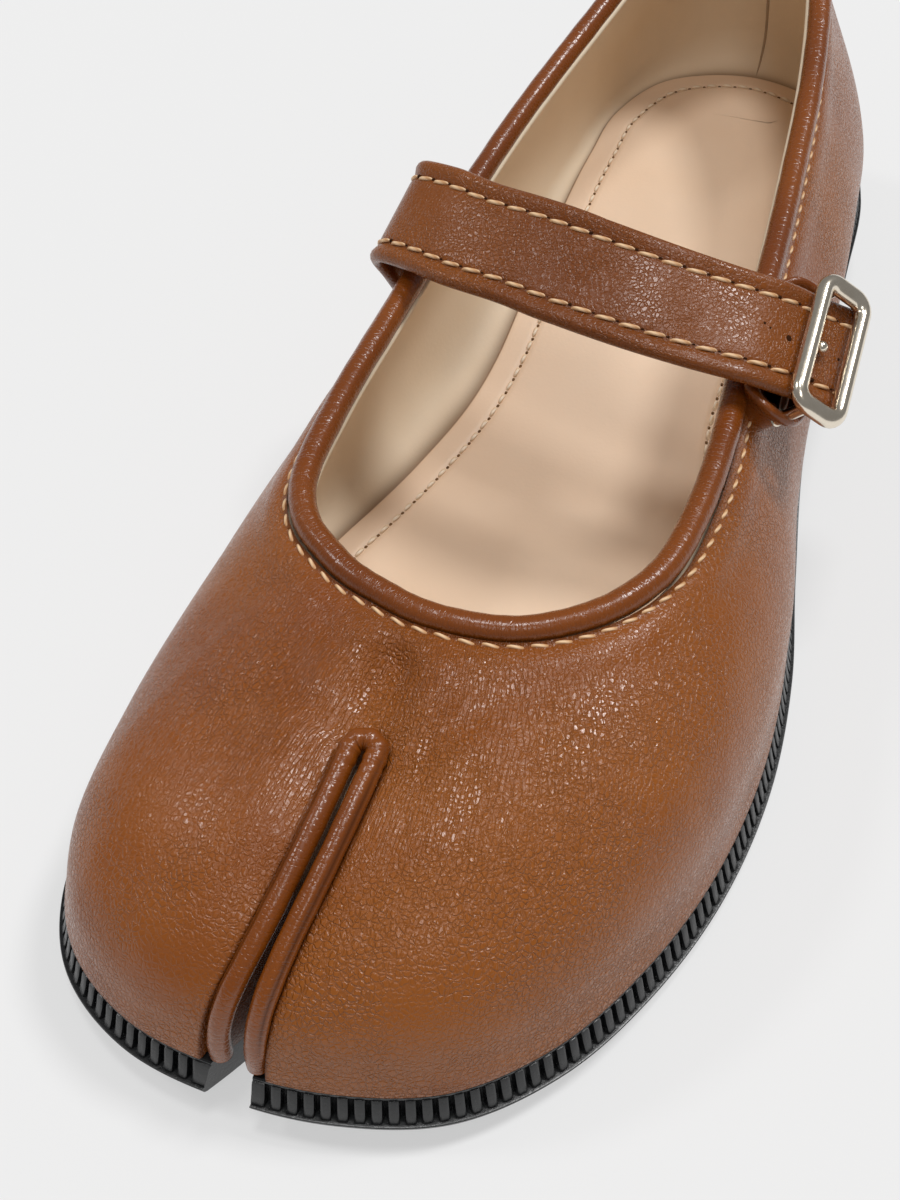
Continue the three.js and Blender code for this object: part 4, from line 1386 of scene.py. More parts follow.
    def build_lining(self, finishes: Finishes) -> None:
        """The lining: the skin moved in by the wall's thickness, parted at the toe split.

        Args:
            finishes: The shared finishes.
        """
        last = self.last
        share, up = self.warped(last.wall)
        keep = np.arange(0, self.columns, 3)
        rows = np.unique(np.concatenate([np.arange(0, self.wall_rows, 2),
                                         np.arange(self.wall_rows, up.shape[0])]))
        share, up = share[np.ix_(rows, keep)], up[np.ix_(rows, keep)]
        points = last.wall_point(share, up, last.wall)
        lining = Sheet.of_grid(points, size=(3.3, 1.9), flip=True)
        # Painted shade along the lining's top, under the binding.
        lining.marks = {"darkened": 0.5 * bell(1 - up, 0.02).ravel()}
        make_piece(last, "lining_leather", lining, finishes.lining, Slot.LINING, merge=1e-3)

    def build_split_walls(self, finishes: Finishes) -> None:
        """The two leather walls inside the split, from the rolled edge down to the sole.

        Args:
            finishes: The shared finishes.
        """
        last = self.last
        path = last.roll_path()
        y = np.clip(path[:, 1], None, last.split_length)
        centre = last.split_centre(y)
        sign = np.sign(path[:, 0] - centre)
        side_x = centre + sign * (last.split_half(y) + 0.15)
        end = path[:, 1] > last.split_length - 1
        spread = (path[:, 0] - centre) * (last.split_half(y) + 0.15) / last.roll_offset(y)
        top = np.stack([np.where(end, centre + spread, side_x), path[:, 1], path[:, 2] - 0.4], -1)
        top[end, 1] = last.split_length + (path[end, 1] - last.split_length) * 0.35
        foot = top * [1, 1, 0] + np.array([0, 0, 1]) * (last.sole_top(top[:, 1:2]) + last.gap)
        foot[:, 2] = np.minimum(foot[:, 2], top[:, 2] - 0.05)
        t = np.linspace(0, 1, 14)[:, None, None]
        walls = Sheet.of_grid(top[None] * (1 - t) + foot[None] * t)
        # Painted shade over the whole of both walls inside the split.
        walls.marks = {"darkened": np.full(len(walls.points), 0.5)}
        make_piece(last, "split_walls", walls, finishes.edge, Slot.LEATHER)


@dataclass
class Binding:
    """The rolled binding round the collar, and the row of stitches beside it."""

    last: Last
    rings: int = 900
    sides: int = 20
    swollen: float = 2.1
    edge_radius: float = 0.6
    edge_drop: float = 0.35
    edge_sides: int = 12
    ripple: float = 0.015
    stitch_sunk: float = 0.3
    stitches: StitchRow = field(
        default_factory=lambda: StitchRow(length=3.05, pitch=3.4, radius=0.29, sink=0.3, slant=-0.14))

    def build(self, finishes: Finishes) -> None:
        """Makes the roll, the threads and their holes.

        Args:
            finishes: The shared finishes.
        """
        last = self.last
        share = np.arange(self.rings) / self.rings
        w = last.wall_line(share)
        ripple = self.ripple * np.sin(share * 2 * np.pi * 61) * np.sin(share * 2 * np.pi * 17)
        swell = self.swollen * (1 + ripple)[:, None]
        roll = tube(w.bead, w.climb, w.face, swell, self.sides, True)
        roll.marks = {"crumple": np.full(len(roll.points), 0.8)}
        make_piece(last, "topline_binding", roll, finishes.edge, Slot.LEATHER, "topline_roll")
        inner = w.bead - w.face * self.swollen - w.climb * self.edge_drop
        turned_in = tube(inner, w.climb, w.face, self.edge_radius, self.edge_sides, True)
        make_piece(last, "lining_topline_edge", turned_in, finishes.lining, Slot.LINING)
        up = 1 - last.stitch_place(w.rim[:, 1]) / last.rim_speed(share)
        out = last.skin_out(share, up)
        line = last.skin(share, up) - out * self.stitch_sunk
        threads, holes = self.stitches.lay(line, out, True)
        make_piece(last, "topline_stitches", threads, finishes.thread, Slot.LEATHER)
        make_piece(last, "topline_needle_holes", holes, finishes.hole, Slot.LEATHER)


@dataclass
class ToeSplit:
    """The rolled edge round the toe split."""

    last: Last
    rings: int = 420
    sides: int = 28
    pleat: float = 0.075
    pleats: int = 62
    pleat_reach: float = 0.05
    ripple: float = 0.02
    fold_at: float = -0.85
    fold_width: float = 0.2
    fold_depth: float = 0.13
    sunk: float = 1.35
    sunk_run: float = 0.16

    def build(self, finishes: Finishes) -> None:
        """Makes the roll: pleated round the closed end, creased along its outer side, sunk at the toe.

        Args:
            finishes: The shared finishes.
        """
        last = self.last
        curve = Curve(last.roll_path(), False, 400)
        t = curve.by_length(np.linspace(0, 1, self.rings))
        path, along = curve.at(t), curve.along(t)
        side = unit(np.cross(along, np.array([0, 0, 1.0])))
        normal = np.cross(side, along)
        run = np.linspace(0, 1, self.rings)
        from_end = np.minimum(run, 1 - run)
        path = path - normal * (self.sunk * (1 - smoothstep(from_end, 0, self.sunk_run)))[:, None]
        angle = np.linspace(0, 2 * np.pi, self.sides, endpoint=False)
        turned = (angle + np.pi) % (2 * np.pi) - np.pi
        round_end = bell(run - 0.5, self.pleat_reach)
        fold = bell(turned - self.fold_at, self.fold_width)[None] * smoothstep(from_end, 0.02, 0.1)[:, None]
        folded = fold * (1 - round_end)[:, None]
        pleats = self.pleat * np.sin(run * 2 * np.pi * self.pleats) * round_end
        ripple = self.ripple * np.sin(run * 83) * np.sin(run * 31)
        swell = last.roll_radius * (1 + (pleats + ripple)[:, None] - self.fold_depth * folded)
        roll = tube(path, normal, side, swell, self.sides, False)
        # Painted shade in the fold along the roll's outer side.
        roll.marks = {"crumple": np.full(len(roll.points), 0.7), "darkened": 0.75 * folded.ravel()}
        make_piece(last, "toe_split_roll", roll, finishes.edge, Slot.LEATHER, "slit_roll")


# The sock's edge, clockwise from the back of the heel: shares of half the ball width and of the length.
SOCK_EDGE = [
    (0.112, 0.962), (-0.251, 0.933), (-0.404, 0.867), (-0.42, 0.8), (-0.42, 0.72), (-0.42, 0.625),
    (-0.424, 0.566), (-0.453, 0.52), (-0.529, 0.463), (-0.602, 0.414), (-0.684, 0.36), (-0.735, 0.293),
    (-0.72, 0.21), (-0.6, 0.178), (-0.2, 0.172), (0.3, 0.172), (0.65, 0.195), (0.776, 0.273),
    (0.755, 0.352), (0.684, 0.43), (0.602, 0.496), (0.547, 0.547), (0.541, 0.605), (0.567, 0.684),
    (0.592, 0.762), (0.604, 0.82), (0.594, 0.879), (0.465, 0.935),
]


class BorderRow(NamedTuple):
    """One line of the sock's border: how far inside its edge, and its height in thicknesses."""

    inset: float
    lift: float


# From under the edge, over its round and through the stitches' groove to the flat of the sock.
SOCK_BORDER = [
    BorderRow(0, -0.4), BorderRow(0, 0.5), BorderRow(0.15, 0.8), BorderRow(0.5, 0.95),
    BorderRow(1.2, 1), BorderRow(2.5, 1), BorderRow(3.8, 1), BorderRow(4.4, 0.95),
    BorderRow(4.7, 0.7), BorderRow(5, 0.6), BorderRow(5.3, 0.7), BorderRow(5.6, 0.95),
    BorderRow(6.4, 1), BorderRow(9, 1), BorderRow(12, 1), BorderRow(15, 1),
]


@dataclass
class Sock:
    """The board on the sole, the sock that lies on it, and the sock's stitches."""

    last: Last
    board: float = 3
    ease: float = 1
    thickness: float = 0.9
    stitch_inset: float = 5
    steps: int = 420
    board_steps: int = 240
    wall_steps: int = 900
    fillet_start: float = 0.1
    fillet_rise: float = 0.022
    fillet_rows: int = 24
    fillet_proud: float = 0.12
    fillet_top: float = 0.985
    seam_radius: float = 0.3
    stitches: StitchRow = field(
        default_factory=lambda: StitchRow(length=2.3, pitch=3.4, radius=0.36, sink=0.1, slant=0.03))

    def height(self, y: np.ndarray) -> np.ndarray:
        """Height of the board's top."""
        return self.last.sole_top(y) + self.last.gap + self.board

    def build(self, finishes: Finishes) -> None:
        """Makes the board, the sock and its row of stitches.

        Args:
            finishes: The shared finishes.
        """
        last = self.last
        inset = last.feather_inset + last.wall + self.ease
        share = (np.arange(self.board_steps) + 0.5) / self.board_steps
        ring = last.outline(share, inset)
        half = self.board_steps // 2
        left, right = ring[:half], ring[:half - 1:-1]
        t = np.linspace(0, 1, 40)[:, None, None]
        top = left[None] * (1 - t) + right[None] * t
        rim = 1 - np.abs(2 * t[..., 0] - 1)
        top[..., 2] = self.height(top[..., 1]) + 0.15 * bell(rim, 0.07)
        board = Sheet.of_grid(top, flip=True)
        clear = board.points
        near = np.abs(clear[:, 0] - last.split_centre(clear[:, 1])) < last.split_half(clear[:, 1]) + 2.4
        cut = near & (clear[:, 1] < last.split_length + 2)
        board.faces = [f for f in board.faces if not cut[f].any()]
        board.uv = None
        make_piece(last, "insole_board", board, finishes.lining, Slot.LINING, "insole")
        self.build_sock(finishes)

    def build_sock(self, finishes: Finishes) -> None:
        """The sock: a thin sheet with a rounded edge and a faint groove under its stitches.

        Args:
            finishes: The shared finishes.
        """
        last = self.last
        curve = Curve([(x * last.half_ball, y * last.length, 0) for x, y in SOCK_EDGE], True, 600)
        t = curve.by_length(np.arange(self.steps) / self.steps)
        edge, along = curve.at(t), curve.along(t)
        inward = np.stack([along[:, 1], -along[:, 0], 0 * along[:, 0]], -1)
        inward *= np.sign(dot(inward, np.array([0, 0.55 * last.length, 0]) - edge).mean())
        insets, lifts = np.array(SOCK_BORDER).T[..., None]
        rings = edge[None] + inward[None] * insets[..., None]
        rings[..., 2] = self.height(rings[..., 1]) + lifts * self.thickness
        half = self.steps // 2
        inner = rings[-1]
        left, right = inner[: half + 1], np.vstack([inner[:1], inner[half:][::-1]])
        t = np.linspace(0, 1, 24)[:, None, None]
        body = left[None] * (1 - t) + right[None] * t
        body[..., 2] = self.height(body[..., 1]) + self.thickness
        border = Sheet.of_grid(rings, wrap_columns=True)
        sheet = joined([border, Sheet.of_grid(body)])
        sheet.uv = None
        # Painted shade on the sock's first three border rings, under and round its edge.
        darkened = np.zeros(len(sheet.points))
        darkened[: 3 * self.steps] = 0.9
        sheet.marks = {"darkened": darkened}
        make_piece(last, "sock", sheet, finishes.sock, Slot.LINING, merge=1e-3)
        self.build_fillet(edge, -inward, finishes)
        line = edge + inward * self.stitch_inset
        line[:, 2] = self.height(line[:, 1]) + 0.62 * self.thickness + 0.15
        out = np.tile(np.array([0, 0, 1.0]), (self.steps, 1))
        threads, holes = self.stitches.lay(line, out, True)
        make_piece(last, "sock_stitches", threads, finishes.sock_thread, Slot.LINING)
        make_piece(last, "sock_needle_holes", holes, finishes.sock_hole, Slot.LINING)

    def build_fillet(self, edge: np.ndarray, outward: np.ndarray, finishes: Finishes) -> None:
        """The lining's face: it comes down the wall, curves in and slips under the sock's edge.

        Each line is a cubic Bezier from the sock's edge to the nearest place of the lining.

        Args:
            edge: Points of the sock's edge.
            outward: Unit vectors out of it, level.
            finishes: The shared finishes.
        """
        last = self.last
        share = np.arange(self.wall_steps) / self.wall_steps
        wall = last.outline(share, last.feather_inset + last.wall)
        away = np.linalg.norm(edge[:, None, :2] - wall[None, :, :2], axis=-1)
        nearest, far = share[away.argmin(axis=1)], away.min(axis=1)
        up = np.clip(self.fillet_start + self.fillet_rise * far, 0, 0.45)
        top = last.wall_point(nearest, up, last.wall + self.fillet_proud)
        below = last.wall_point(nearest, up - 0.03, last.wall + self.fillet_proud)
        down = unit(below - top)
        start = edge - outward * 0.6
        start[:, 2] = self.height(edge[:, 1]) + 0.35
        span = np.linalg.norm(top - start, axis=1)[:, None]
        t = np.linspace(0, 1, self.fillet_rows)[:, None, None]
        foot = (start * (1 - t) ** 3 + 3 * (start + outward * span * 0.4) * t * (1 - t) ** 2
                + 3 * (top + down * span * 0.4) * t**2 * (1 - t) + top * t**3)
        rise = up + (self.fillet_top - up) * np.linspace(0, 1, self.fillet_rows)[1:, None]
        side = last.wall_point(np.broadcast_to(nearest, rise.shape), rise, last.wall + self.fillet_proud)
        fillet = Sheet.of_grid(np.vstack([foot, side]), wrap_columns=True, flip=True)
        edge_shade = 0.85 * bell(np.concatenate([t.ravel(), 1 + t.ravel()[1:]]), 0.19)
        fillet.marks = {"darkened": np.repeat(edge_shade, len(edge))}
        make_piece(last, "lining_foot", fillet, finishes.lining, Slot.LINING)
        k = int(edge[:, 1].argmax())
        path = np.vstack([foot, side])[3:, k]
        along = unit(np.gradient(path, axis=0))
        inwards = np.tile(-outward[k], (len(path), 1))
        seam = tube(path, inwards, np.cross(along, inwards), self.seam_radius, 8, False)
        seam.marks = {"darkened": np.full(len(seam.points), 0.6)}
        make_piece(last, "lining_back_seam", seam, finishes.lining, Slot.LINING)


class Level(Enum):
    """Lines round the sole that its section is measured from."""

    UNDER = "underside"
    RIB_FOOT = "foot of the ribs"
    RIB_MIDDLE = "middle of the ribs"
    RIB_HEAD = "head of the ribs"
    TOP = "top"


class SectionRow(NamedTuple):
    """One line of the sole's section: how far in, on which level, how far above it, ribbed or plain."""

    inset: float
    level: Level
    lift: float
    ribbed: int = 0


@dataclass
class Outsole:
    """The moulded sole: ribs under a thin rim with a lip below, notched at the toe, with a cut tread."""

    last: Last
    ribs: int = 264
    per_rib: int = 10
    rib_depth: float = 1.3
    rib_height: float = 4.4
    rib_share: float = 0.7
    rib_corner: float = 0.16
    ledge_inset: float = 2.05
    rim_height: float = 0.7
    rib_top_inset: float = 1.9
    rib_foot_inset: float = 0.5
    lip_undercut: float = 0.4
    notch_start: float = -8
    notch_length: float = 32
    notch_margin: float = 0.4
    corner_block: float = 0.9
    corner_reach: float = 20
    sharp_angle: float = 38
    tread_depth: float = 1.2
    tread_width: float = 2.4
    tread: tuple[float, ...] = (0.31, 0.345, 0.38, 0.415, 0.77, 0.81, 0.85, 0.89)

    def wave(self, count: int) -> np.ndarray:
        """Depth of the valleys round the sole: a square wave with rounded corners.

        Args:
            count: Points round the sole.

        Returns:
            Shares of the valleys' depth.
        """
        phase = (np.arange(count) / self.per_rib) % 1
        away = np.abs(phase - 0.5) * 2
        start = 1 - self.rib_share
        return 1 - smoothstep(away, start - self.rib_corner, start + self.rib_corner)

    def height(self, level: Level, y: np.ndarray) -> np.ndarray:
        """Height of one of the sole's levels.

        Args:
            level: The level.
            y: Distances from the toe tip.

        Returns:
            One height a distance.
        """
        top = self.last.sole_top(y)
        head = top - self.rim_height
        heights = {
            Level.UNDER: self.last.sole_under(y),
            Level.RIB_FOOT: head - self.rib_height,
            Level.RIB_MIDDLE: head - self.rib_height / 2,
            Level.RIB_HEAD: head,
            Level.TOP: top,
        }
        return heights[level]

    def section(self) -> list[SectionRow]:
        """The sole's section.

        Returns:
            Its rows, from inside the underside round the edge to inside the top.
        """
        lip, ledge = self.lip_undercut, self.ledge_inset
        foot, head = self.rib_foot_inset, self.rib_top_inset
        return [
            SectionRow(3.0, Level.UNDER, 0),
            SectionRow(lip + 0.3, Level.UNDER, 0),
            SectionRow(lip - 0.1, Level.UNDER, 0.25),
            SectionRow(0.0, Level.RIB_FOOT, -0.25),
            SectionRow(0.1, Level.RIB_FOOT, -0.05),
            SectionRow(0.3, Level.RIB_FOOT, 0),
            SectionRow(foot, Level.RIB_FOOT, 0, ribbed=1),
            SectionRow(foot, Level.RIB_FOOT, 0.3, ribbed=1),
            SectionRow((foot + head) / 2, Level.RIB_MIDDLE, 0, ribbed=1),
            SectionRow(head - 0.25, Level.RIB_HEAD, -0.55, ribbed=1),
            SectionRow(head, Level.RIB_HEAD, -0.12, ribbed=1),
            SectionRow(head + 0.35, Level.RIB_HEAD, 0, ribbed=1),
            SectionRow(ledge, Level.RIB_HEAD, 0),
            SectionRow(ledge + 0.02, Level.RIB_HEAD, 0.45),
            SectionRow(ledge + 0.25, Level.TOP, 0),
            SectionRow(ledge + 1.5, Level.TOP, 0),
        ]

    def build(self, finishes: Finishes) -> None:
        """Makes the ribbed block and cuts the notch and the tread out of it.

        Args:
            finishes: The shared finishes.
        """
        last = self.last
        count = self.ribs * self.per_rib
        share = np.arange(count) / count
        plain = last.outline(share, 0)
        beside = np.abs(plain[:, 0] - last.split_centre(plain[:, 1]))
        edge = last.split_half(plain[:, 1]) + self.notch_margin
        open_rib = smoothstep(beside - edge, self.corner_block - 0.2, self.corner_block + 0.2)
        open_rib = np.where(plain[:, 1] > self.corner_reach, 1, open_rib)
        wave = self.wave(count) * open_rib * self.rib_depth
        section = self.section()
        rows = []
        for line in section:
            row = last.outline(share, line.inset + line.ribbed * wave)
            row[:, 2] = self.height(line.level, row[:, 1]) + line.lift
            rows.append(row)
        body = Sheet.of_grid(np.array(rows), wrap_columns=True)
        half = count // 2
        k = np.arange(half)
        strip = np.stack([k, (k + 1) % count, (count - k - 1) % count, (count - k) % count], -1)
        strip = strip[1:-1]
        ends = [[0, 1, count - 1], [half, half + 1, half - 1]]
        top = (len(section) - 1) * count
        faces = body.faces + strip[:, ::-1].tolist() + [e[::-1] for e in ends]
        faces += (strip + top).tolist() + [[v + top for v in e] for e in ends]
        sole = Sheet(body.points, faces)
        piece = make_piece(last, "outsole_ribbed", sole, finishes.rubber, Slot.RUBBER, "outsole")
        self.cut(piece)

    def cut(self, piece: bpy.types.Object) -> None:
        """Cuts the notch and the tread's grooves out of the sole's mesh.

        Args:
            piece: The sole, whose mesh is exchanged for the cut one.
        """
        last = self.last
        leg = np.linspace(self.notch_start, self.notch_length, 30)
        half = last.split_half(leg) + self.notch_margin
        angle = np.radians(np.arange(20, 180, 20))
        x = np.concatenate([last.split_centre(leg) + half,
                            last.split_centre(self.notch_length) + half[-1] * np.cos(angle),
                            (last.split_centre(leg) - half)[::-1]])
        y = np.concatenate([leg, self.notch_length + half[-1] * np.sin(angle), leg[::-1]])
        count = len(x)
        rows = [np.stack([x, y, 0 * x + z], -1) for z in (-last.toe_spring, last.back_height)]
        wedge = Sheet.of_grid(np.array(rows), wrap_columns=True)
        wedge.cap(np.arange(count)[::-1]).cap(count + np.arange(count))
        wedge.uv = None
        cutters = [wedge]
        for share in self.tread:
            wide, deep = last.half_ball * 1.2, self.tread_depth
            low = share * last.length - self.tread_width / 2
            high = low + self.tread_width
            ring = [(-wide, low), (wide, low), (wide, high), (-wide, high)]
            box = np.array([[(a, b, z) for a, b in ring] for z in (-deep, deep)])
            block = Sheet.of_grid(box, wrap_columns=True)
            block.cap(np.arange(4)[::-1]).cap(4 + np.arange(4))
            block.uv = None
            cutters.append(block)
        cutter = joined(cutters)
        mesh = bpy.data.meshes.new("sole_cutter")
        mesh.from_pydata(last.placed(cutter.points).tolist(), [], cutter.faces)
        tool = bpy.data.objects.new("sole_cutter", mesh)
        bpy.context.scene.collection.objects.link(tool)
        cut = piece.modifiers.new("notch", "BOOLEAN")
        cut.operation = "DIFFERENCE"
        cut.solver = "EXACT"
        cut.object = tool
        graph = bpy.context.evaluated_depsgraph_get()
        made = bpy.data.meshes.new_from_object(piece.evaluated_get(graph))
        piece.modifiers.clear()
        piece.data = made
        bpy.data.objects.remove(tool)
        bpy.data.meshes.remove(mesh)
        made.polygons.foreach_set("use_smooth", np.ones(len(made.polygons), dtype=bool))
        made.set_sharp_from_angle(angle=np.radians(self.sharp_angle))


class StrapRow(NamedTuple):
    """One station of the strap; tilt lifts its rear edge and turn swings it outwards, in degrees."""

    across: float
    along: float
    height: float
    tilt: float
    turn: float


class SewnRow(NamedTuple):
    """One station of the strap's sewn end: a level of the inner wall, and the rest as in StrapRow."""

    up: float
    along: float
    tilt: float
    turn: float


class Pinhole(NamedTuple):
    """A punched hole: how far from the stud along the strap and across it, and its radius."""

    run: float
    place: float
    radius: float


STRAP_SEWN = [SewnRow(0.6, 0.569, 27, 8), SewnRow(0.74, 0.56, 28, 8)]
STRAP_FREE = [
    StrapRow(-0.716, 0.5465, 1.065, 29, 12),
    StrapRow(-0.735, 0.536, 1.183, 30, 13),
    StrapRow(-0.698, 0.5227, 1.273, 28, 8),
    StrapRow(-0.571, 0.509, 1.332, 27, 0),
    StrapRow(-0.408, 0.496, 1.359, 27, 0),
    StrapRow(-0.204, 0.4867, 1.378, 27, 0),
    StrapRow(0, 0.4762, 1.388, 27, 0),
    StrapRow(0.224, 0.47, 1.378, 25, 0),
    StrapRow(0.408, 0.4715, 1.345, 22, 0),
    StrapRow(0.596, 0.478, 1.2927, 18, 0),
]


@dataclass
class Buckle:
    """The plated frame with its hidden centre bar, the ball stud, and the leather tab that holds it."""

    last: Last
    across: float = 0.8178
    along: float = 0.489
    height: float = 1.2197
    lift: float = 20.2
    lean: float = 34.8
    turn: float = 13.4
    bar_radius: float = 1.35
    bar_distance: float = 8.2
    rail_distance: float = 22.6
    rail_width: float = 3.3
    corner: float = 2.3
    to_strap: float = 3
    centre_radius: float = 1
    centre_drop: float = 6.9
    centre_shift: float = -1.5
    stud_radius: float = 1
    stud_height: float = -0.7
    stem_radius: float = 0.55
    eye_radius: float = 1.9
    eye_width: float = 2
    strap_half: float = 1.3
    tab_length: float = 26.4
    tab_width: float = 12.6
    tab_corner: float = 6
    tab_curl: float = 1.5
    tab_thickness: float = 3.4
    tab_rim: float = 1.2
    tab_shift: float = -3.4
    tab_drop: float = 0.9
    tab_hollow: float = 4.2
    # Strength and count of rings of the painted shade in the tab's hollow.
    hollow_shade: float = 0.85
    hollow_shade_rings: int = 7

    def __post_init__(self) -> None:
        """Works out the frame's axes: x along the strap, y along the bars, z out of the shoe."""
        a, b, c = np.radians([self.lift, self.lean, self.turn])
        rx = np.array([[1, 0, 0], [0, np.cos(a), -np.sin(a)], [0, np.sin(a), np.cos(a)]])
        ry = np.array([[np.cos(b), 0, np.sin(b)], [0, 1, 0], [-np.sin(b), 0, np.cos(b)]])
        rz = np.array([[np.cos(c), -np.sin(c), 0], [np.sin(c), np.cos(c), 0], [0, 0, 1]])
        self.axes = rz @ ry @ rx
        self.centre = np.array([self.across * self.last.half_ball, self.along * self.last.length,
                                self.height * self.last.instep_height])

    def at(self, local: np.ndarray) -> np.ndarray:
        """Moves points from the buckle's own axes into the shoe's frame."""
        return np.asarray(local, dtype=float) @ self.axes.T + self.centre

    def rod(self, start: tuple, end: tuple, radius: float, rings: int = 10, sides: int = 24) -> Sheet:
        """A round rod between two points of the buckle's own axes.

        Args:
            start: One end.
            end: The other end.
            radius: The rod's radius.
            rings: Rings along it.
            sides: Points in a ring.

        Returns:
            The rod, still in the buckle's own axes.
        """
        a, b = np.array(start, dtype=float), np.array(end, dtype=float)
        path = a + (b - a) * np.linspace(0, 1, rings)[:, None]
        along = unit(b - a)
        helper = np.array([1.0, 0, 0]) if abs(along[0]) < 0.5 else np.array([0, 1.0, 0])
        normal = np.tile(unit(np.cross(along, helper)), (rings, 1))
        side = np.cross(np.tile(along, (rings, 1)), normal)
        return tube(path, normal, side, radius, sides, False)

    def build(self, finishes: Finishes) -> None:
        """Makes the frame, the stud and the tab.

        Args:
            finishes: The shared finishes.
        """
        last = self.last
        frame_sheet = joined([self.frame_ring(), *self.centre_rods()])
        frame_sheet.points = self.at(frame_sheet.points)
        make_piece(last, "buckle_frame_plated", frame_sheet, finishes.nickel, Slot.NICKEL, "buckle_frame")
        stud = self.stud()
        stud.points = self.at(stud.points)
        make_piece(last, "buckle_stud_plated", stud, finishes.nickel, Slot.NICKEL, "buckle_stud")
        self.build_tab(finishes)

    def frame_ring(self) -> Sheet:
        """The frame: a rounded rectangle of round bars and broader rails.

        Returns:
            The frame, still in the buckle's own axes.
        """
        path, outward = rounded_rectangle(self.bar_distance / 2, self.rail_distance / 2, self.corner,
                                          12, 0.55)
        wide = self.bar_radius + (self.rail_width / 2 - self.bar_radius) * outward[:, 1:] ** 2
        angle = np.linspace(0, 2 * np.pi, 24, endpoint=False)
        flat = path[:, None] + outward[:, None] * (wide * np.cos(angle))[..., None]
        up = np.broadcast_to(self.bar_radius * np.sin(angle), flat.shape[:2])
        return Sheet.of_grid(np.dstack([flat, up]), True, True, size=(0.55, 0.35), flip=True)

    def centre_rods(self) -> list[Sheet]:
        """The centre bar below the frame and the legs that carry it.

        Returns:
            The bar and its two legs, still in the buckle's own axes.
        """
        x, z, half = self.centre_shift, -self.centre_drop, self.rail_distance / 2
        bar = self.rod((x, -half, z), (x, half, z), self.centre_radius)
        legs = [self.rod((x, s * half, z - 0.6), (x, s * half, 0), self.centre_radius) for s in (-1, 1)]
        return [bar, *legs]

    def stud(self) -> Sheet:
        """The stud: a ball on a stem that stands on an eye round the centre bar.

        Returns:
            The stud, still in the buckle's own axes.
        """
        x, z = self.centre_shift, self.stud_height
        lat = np.linspace(-np.pi / 2, np.pi / 2, 20)[:, None]
        lon = np.linspace(0, 2 * np.pi, 28, endpoint=False)[None]
        ball = self.stud_radius * np.stack(
            [np.cos(lat) * np.cos(lon), np.cos(lat) * np.sin(lon), np.sin(lat) + 0 * lon], -1)
        head = Sheet.of_grid(ball + [x, 0, z], wrap_columns=True)
        stem = self.rod((x, 0, z), (x, 0, self.eye_radius - self.centre_drop - 0.3), self.stem_radius)
        middle = (self.eye_radius + self.centre_radius + 0.45) / 2
        thick = (self.eye_radius - self.centre_radius - 0.45) / 2
        round_bar, around = np.meshgrid(np.linspace(0, 2 * np.pi, 36, endpoint=False),
                                        np.linspace(0, 2 * np.pi, 16, endpoint=False), indexing="ij")
        reach = middle + thick * np.cos(around)
        eye = np.stack([x + reach * np.cos(round_bar), self.eye_width / 2 * np.sin(around),
                        reach * np.sin(round_bar) - self.centre_drop], -1)
        return joined([head, stem, Sheet.of_grid(eye, True, True, flip=True)])

    def build_tab(self, finishes: Finishes) -> None:
        """The tab: a plate with a rolled rim round a hollow painted dark with shade, on a skirt that runs
        down to the wall.

        Its rings follow a rounded rectangle, each with its own inset and height; the skirt's last ring
        lies on the wall's skin.

        Args:
            finishes: The shared finishes.
        """
        last = self.last
        half_x, half_y = self.tab_width / 2, self.tab_length / 2
        path, outward = rounded_rectangle(half_x, half_y, self.tab_corner, 14, 0.5)
        roof = -self.to_strap - self.strap_half - self.tab_drop
        rim, thick = self.tab_rim, self.tab_thickness
        turn = np.linspace(1.2 * np.pi, -0.5 * np.pi, 18)
        insets = rim * (1 - np.cos(turn))
        levels = roof - rim + rim * np.sin(turn)
        inner = np.linspace(self.tab_hollow, insets[0], 5)[:-1]
        insets = np.concatenate([inner, insets, [0.9, 1.5]])
        levels = np.concatenate([np.full(4, levels[0] - 0.1), levels, [roof - 2 * rim - 0.4, roof - thick]])
        rings = path[None] - outward[None] * insets[:, None, None]
        curl = self.tab_curl * smoothstep(np.abs(rings[..., 1]), half_y - 3.5, half_y)
        flat = np.dstack([rings, levels[:, None] + curl])
        flat[..., 0] += self.tab_shift
        foot = flat[-1].copy()
        foot[:, 2] = self.wall_depth(foot[:, :2])
        skirt = flat[-1][None] + (foot - flat[-1])[None] * np.linspace(0, 1, 8)[1:, None, None]
        points = np.vstack([flat, skirt])
        sheet = Sheet.of_grid(self.at(points), wrap_columns=True, size=(0.4, 0.5), flip=True)
        sheet.cap(np.arange(len(path))[::-1])
        # Painted shade in the hollow inside the rolled rim.
        darkened = np.zeros(points.shape[:2])
        darkened[: self.hollow_shade_rings] = self.hollow_shade
        sheet.marks = {"darkened": darkened.ravel(), "crumple": np.full(len(sheet.points), 0.5)}
        make_piece(last, "buckle_tab_leather", sheet, finishes.edge, Slot.LEATHER, "buckle_tab")

    def wall_depth(self, places: np.ndarray) -> np.ndarray:
        """Depth of the wall's skin below places of the buckle's x and y, from the nearest skin points.

        Args:
            places: Rows of x and y in the buckle's own axes.

        Returns:
            One z a place, a little under the skin.
        """
        share, up = np.meshgrid(np.linspace(0.15, 0.36, 240), np.linspace(0.3, 1, 160), indexing="ij")
        local = (self.last.skin(share.ravel(), up.ravel()) - self.centre) @ self.axes
        away = np.linalg.norm(places[:, None] - local[None, :, :2], axis=-1)
        return local[away.argmin(axis=1), 2] - 0.2


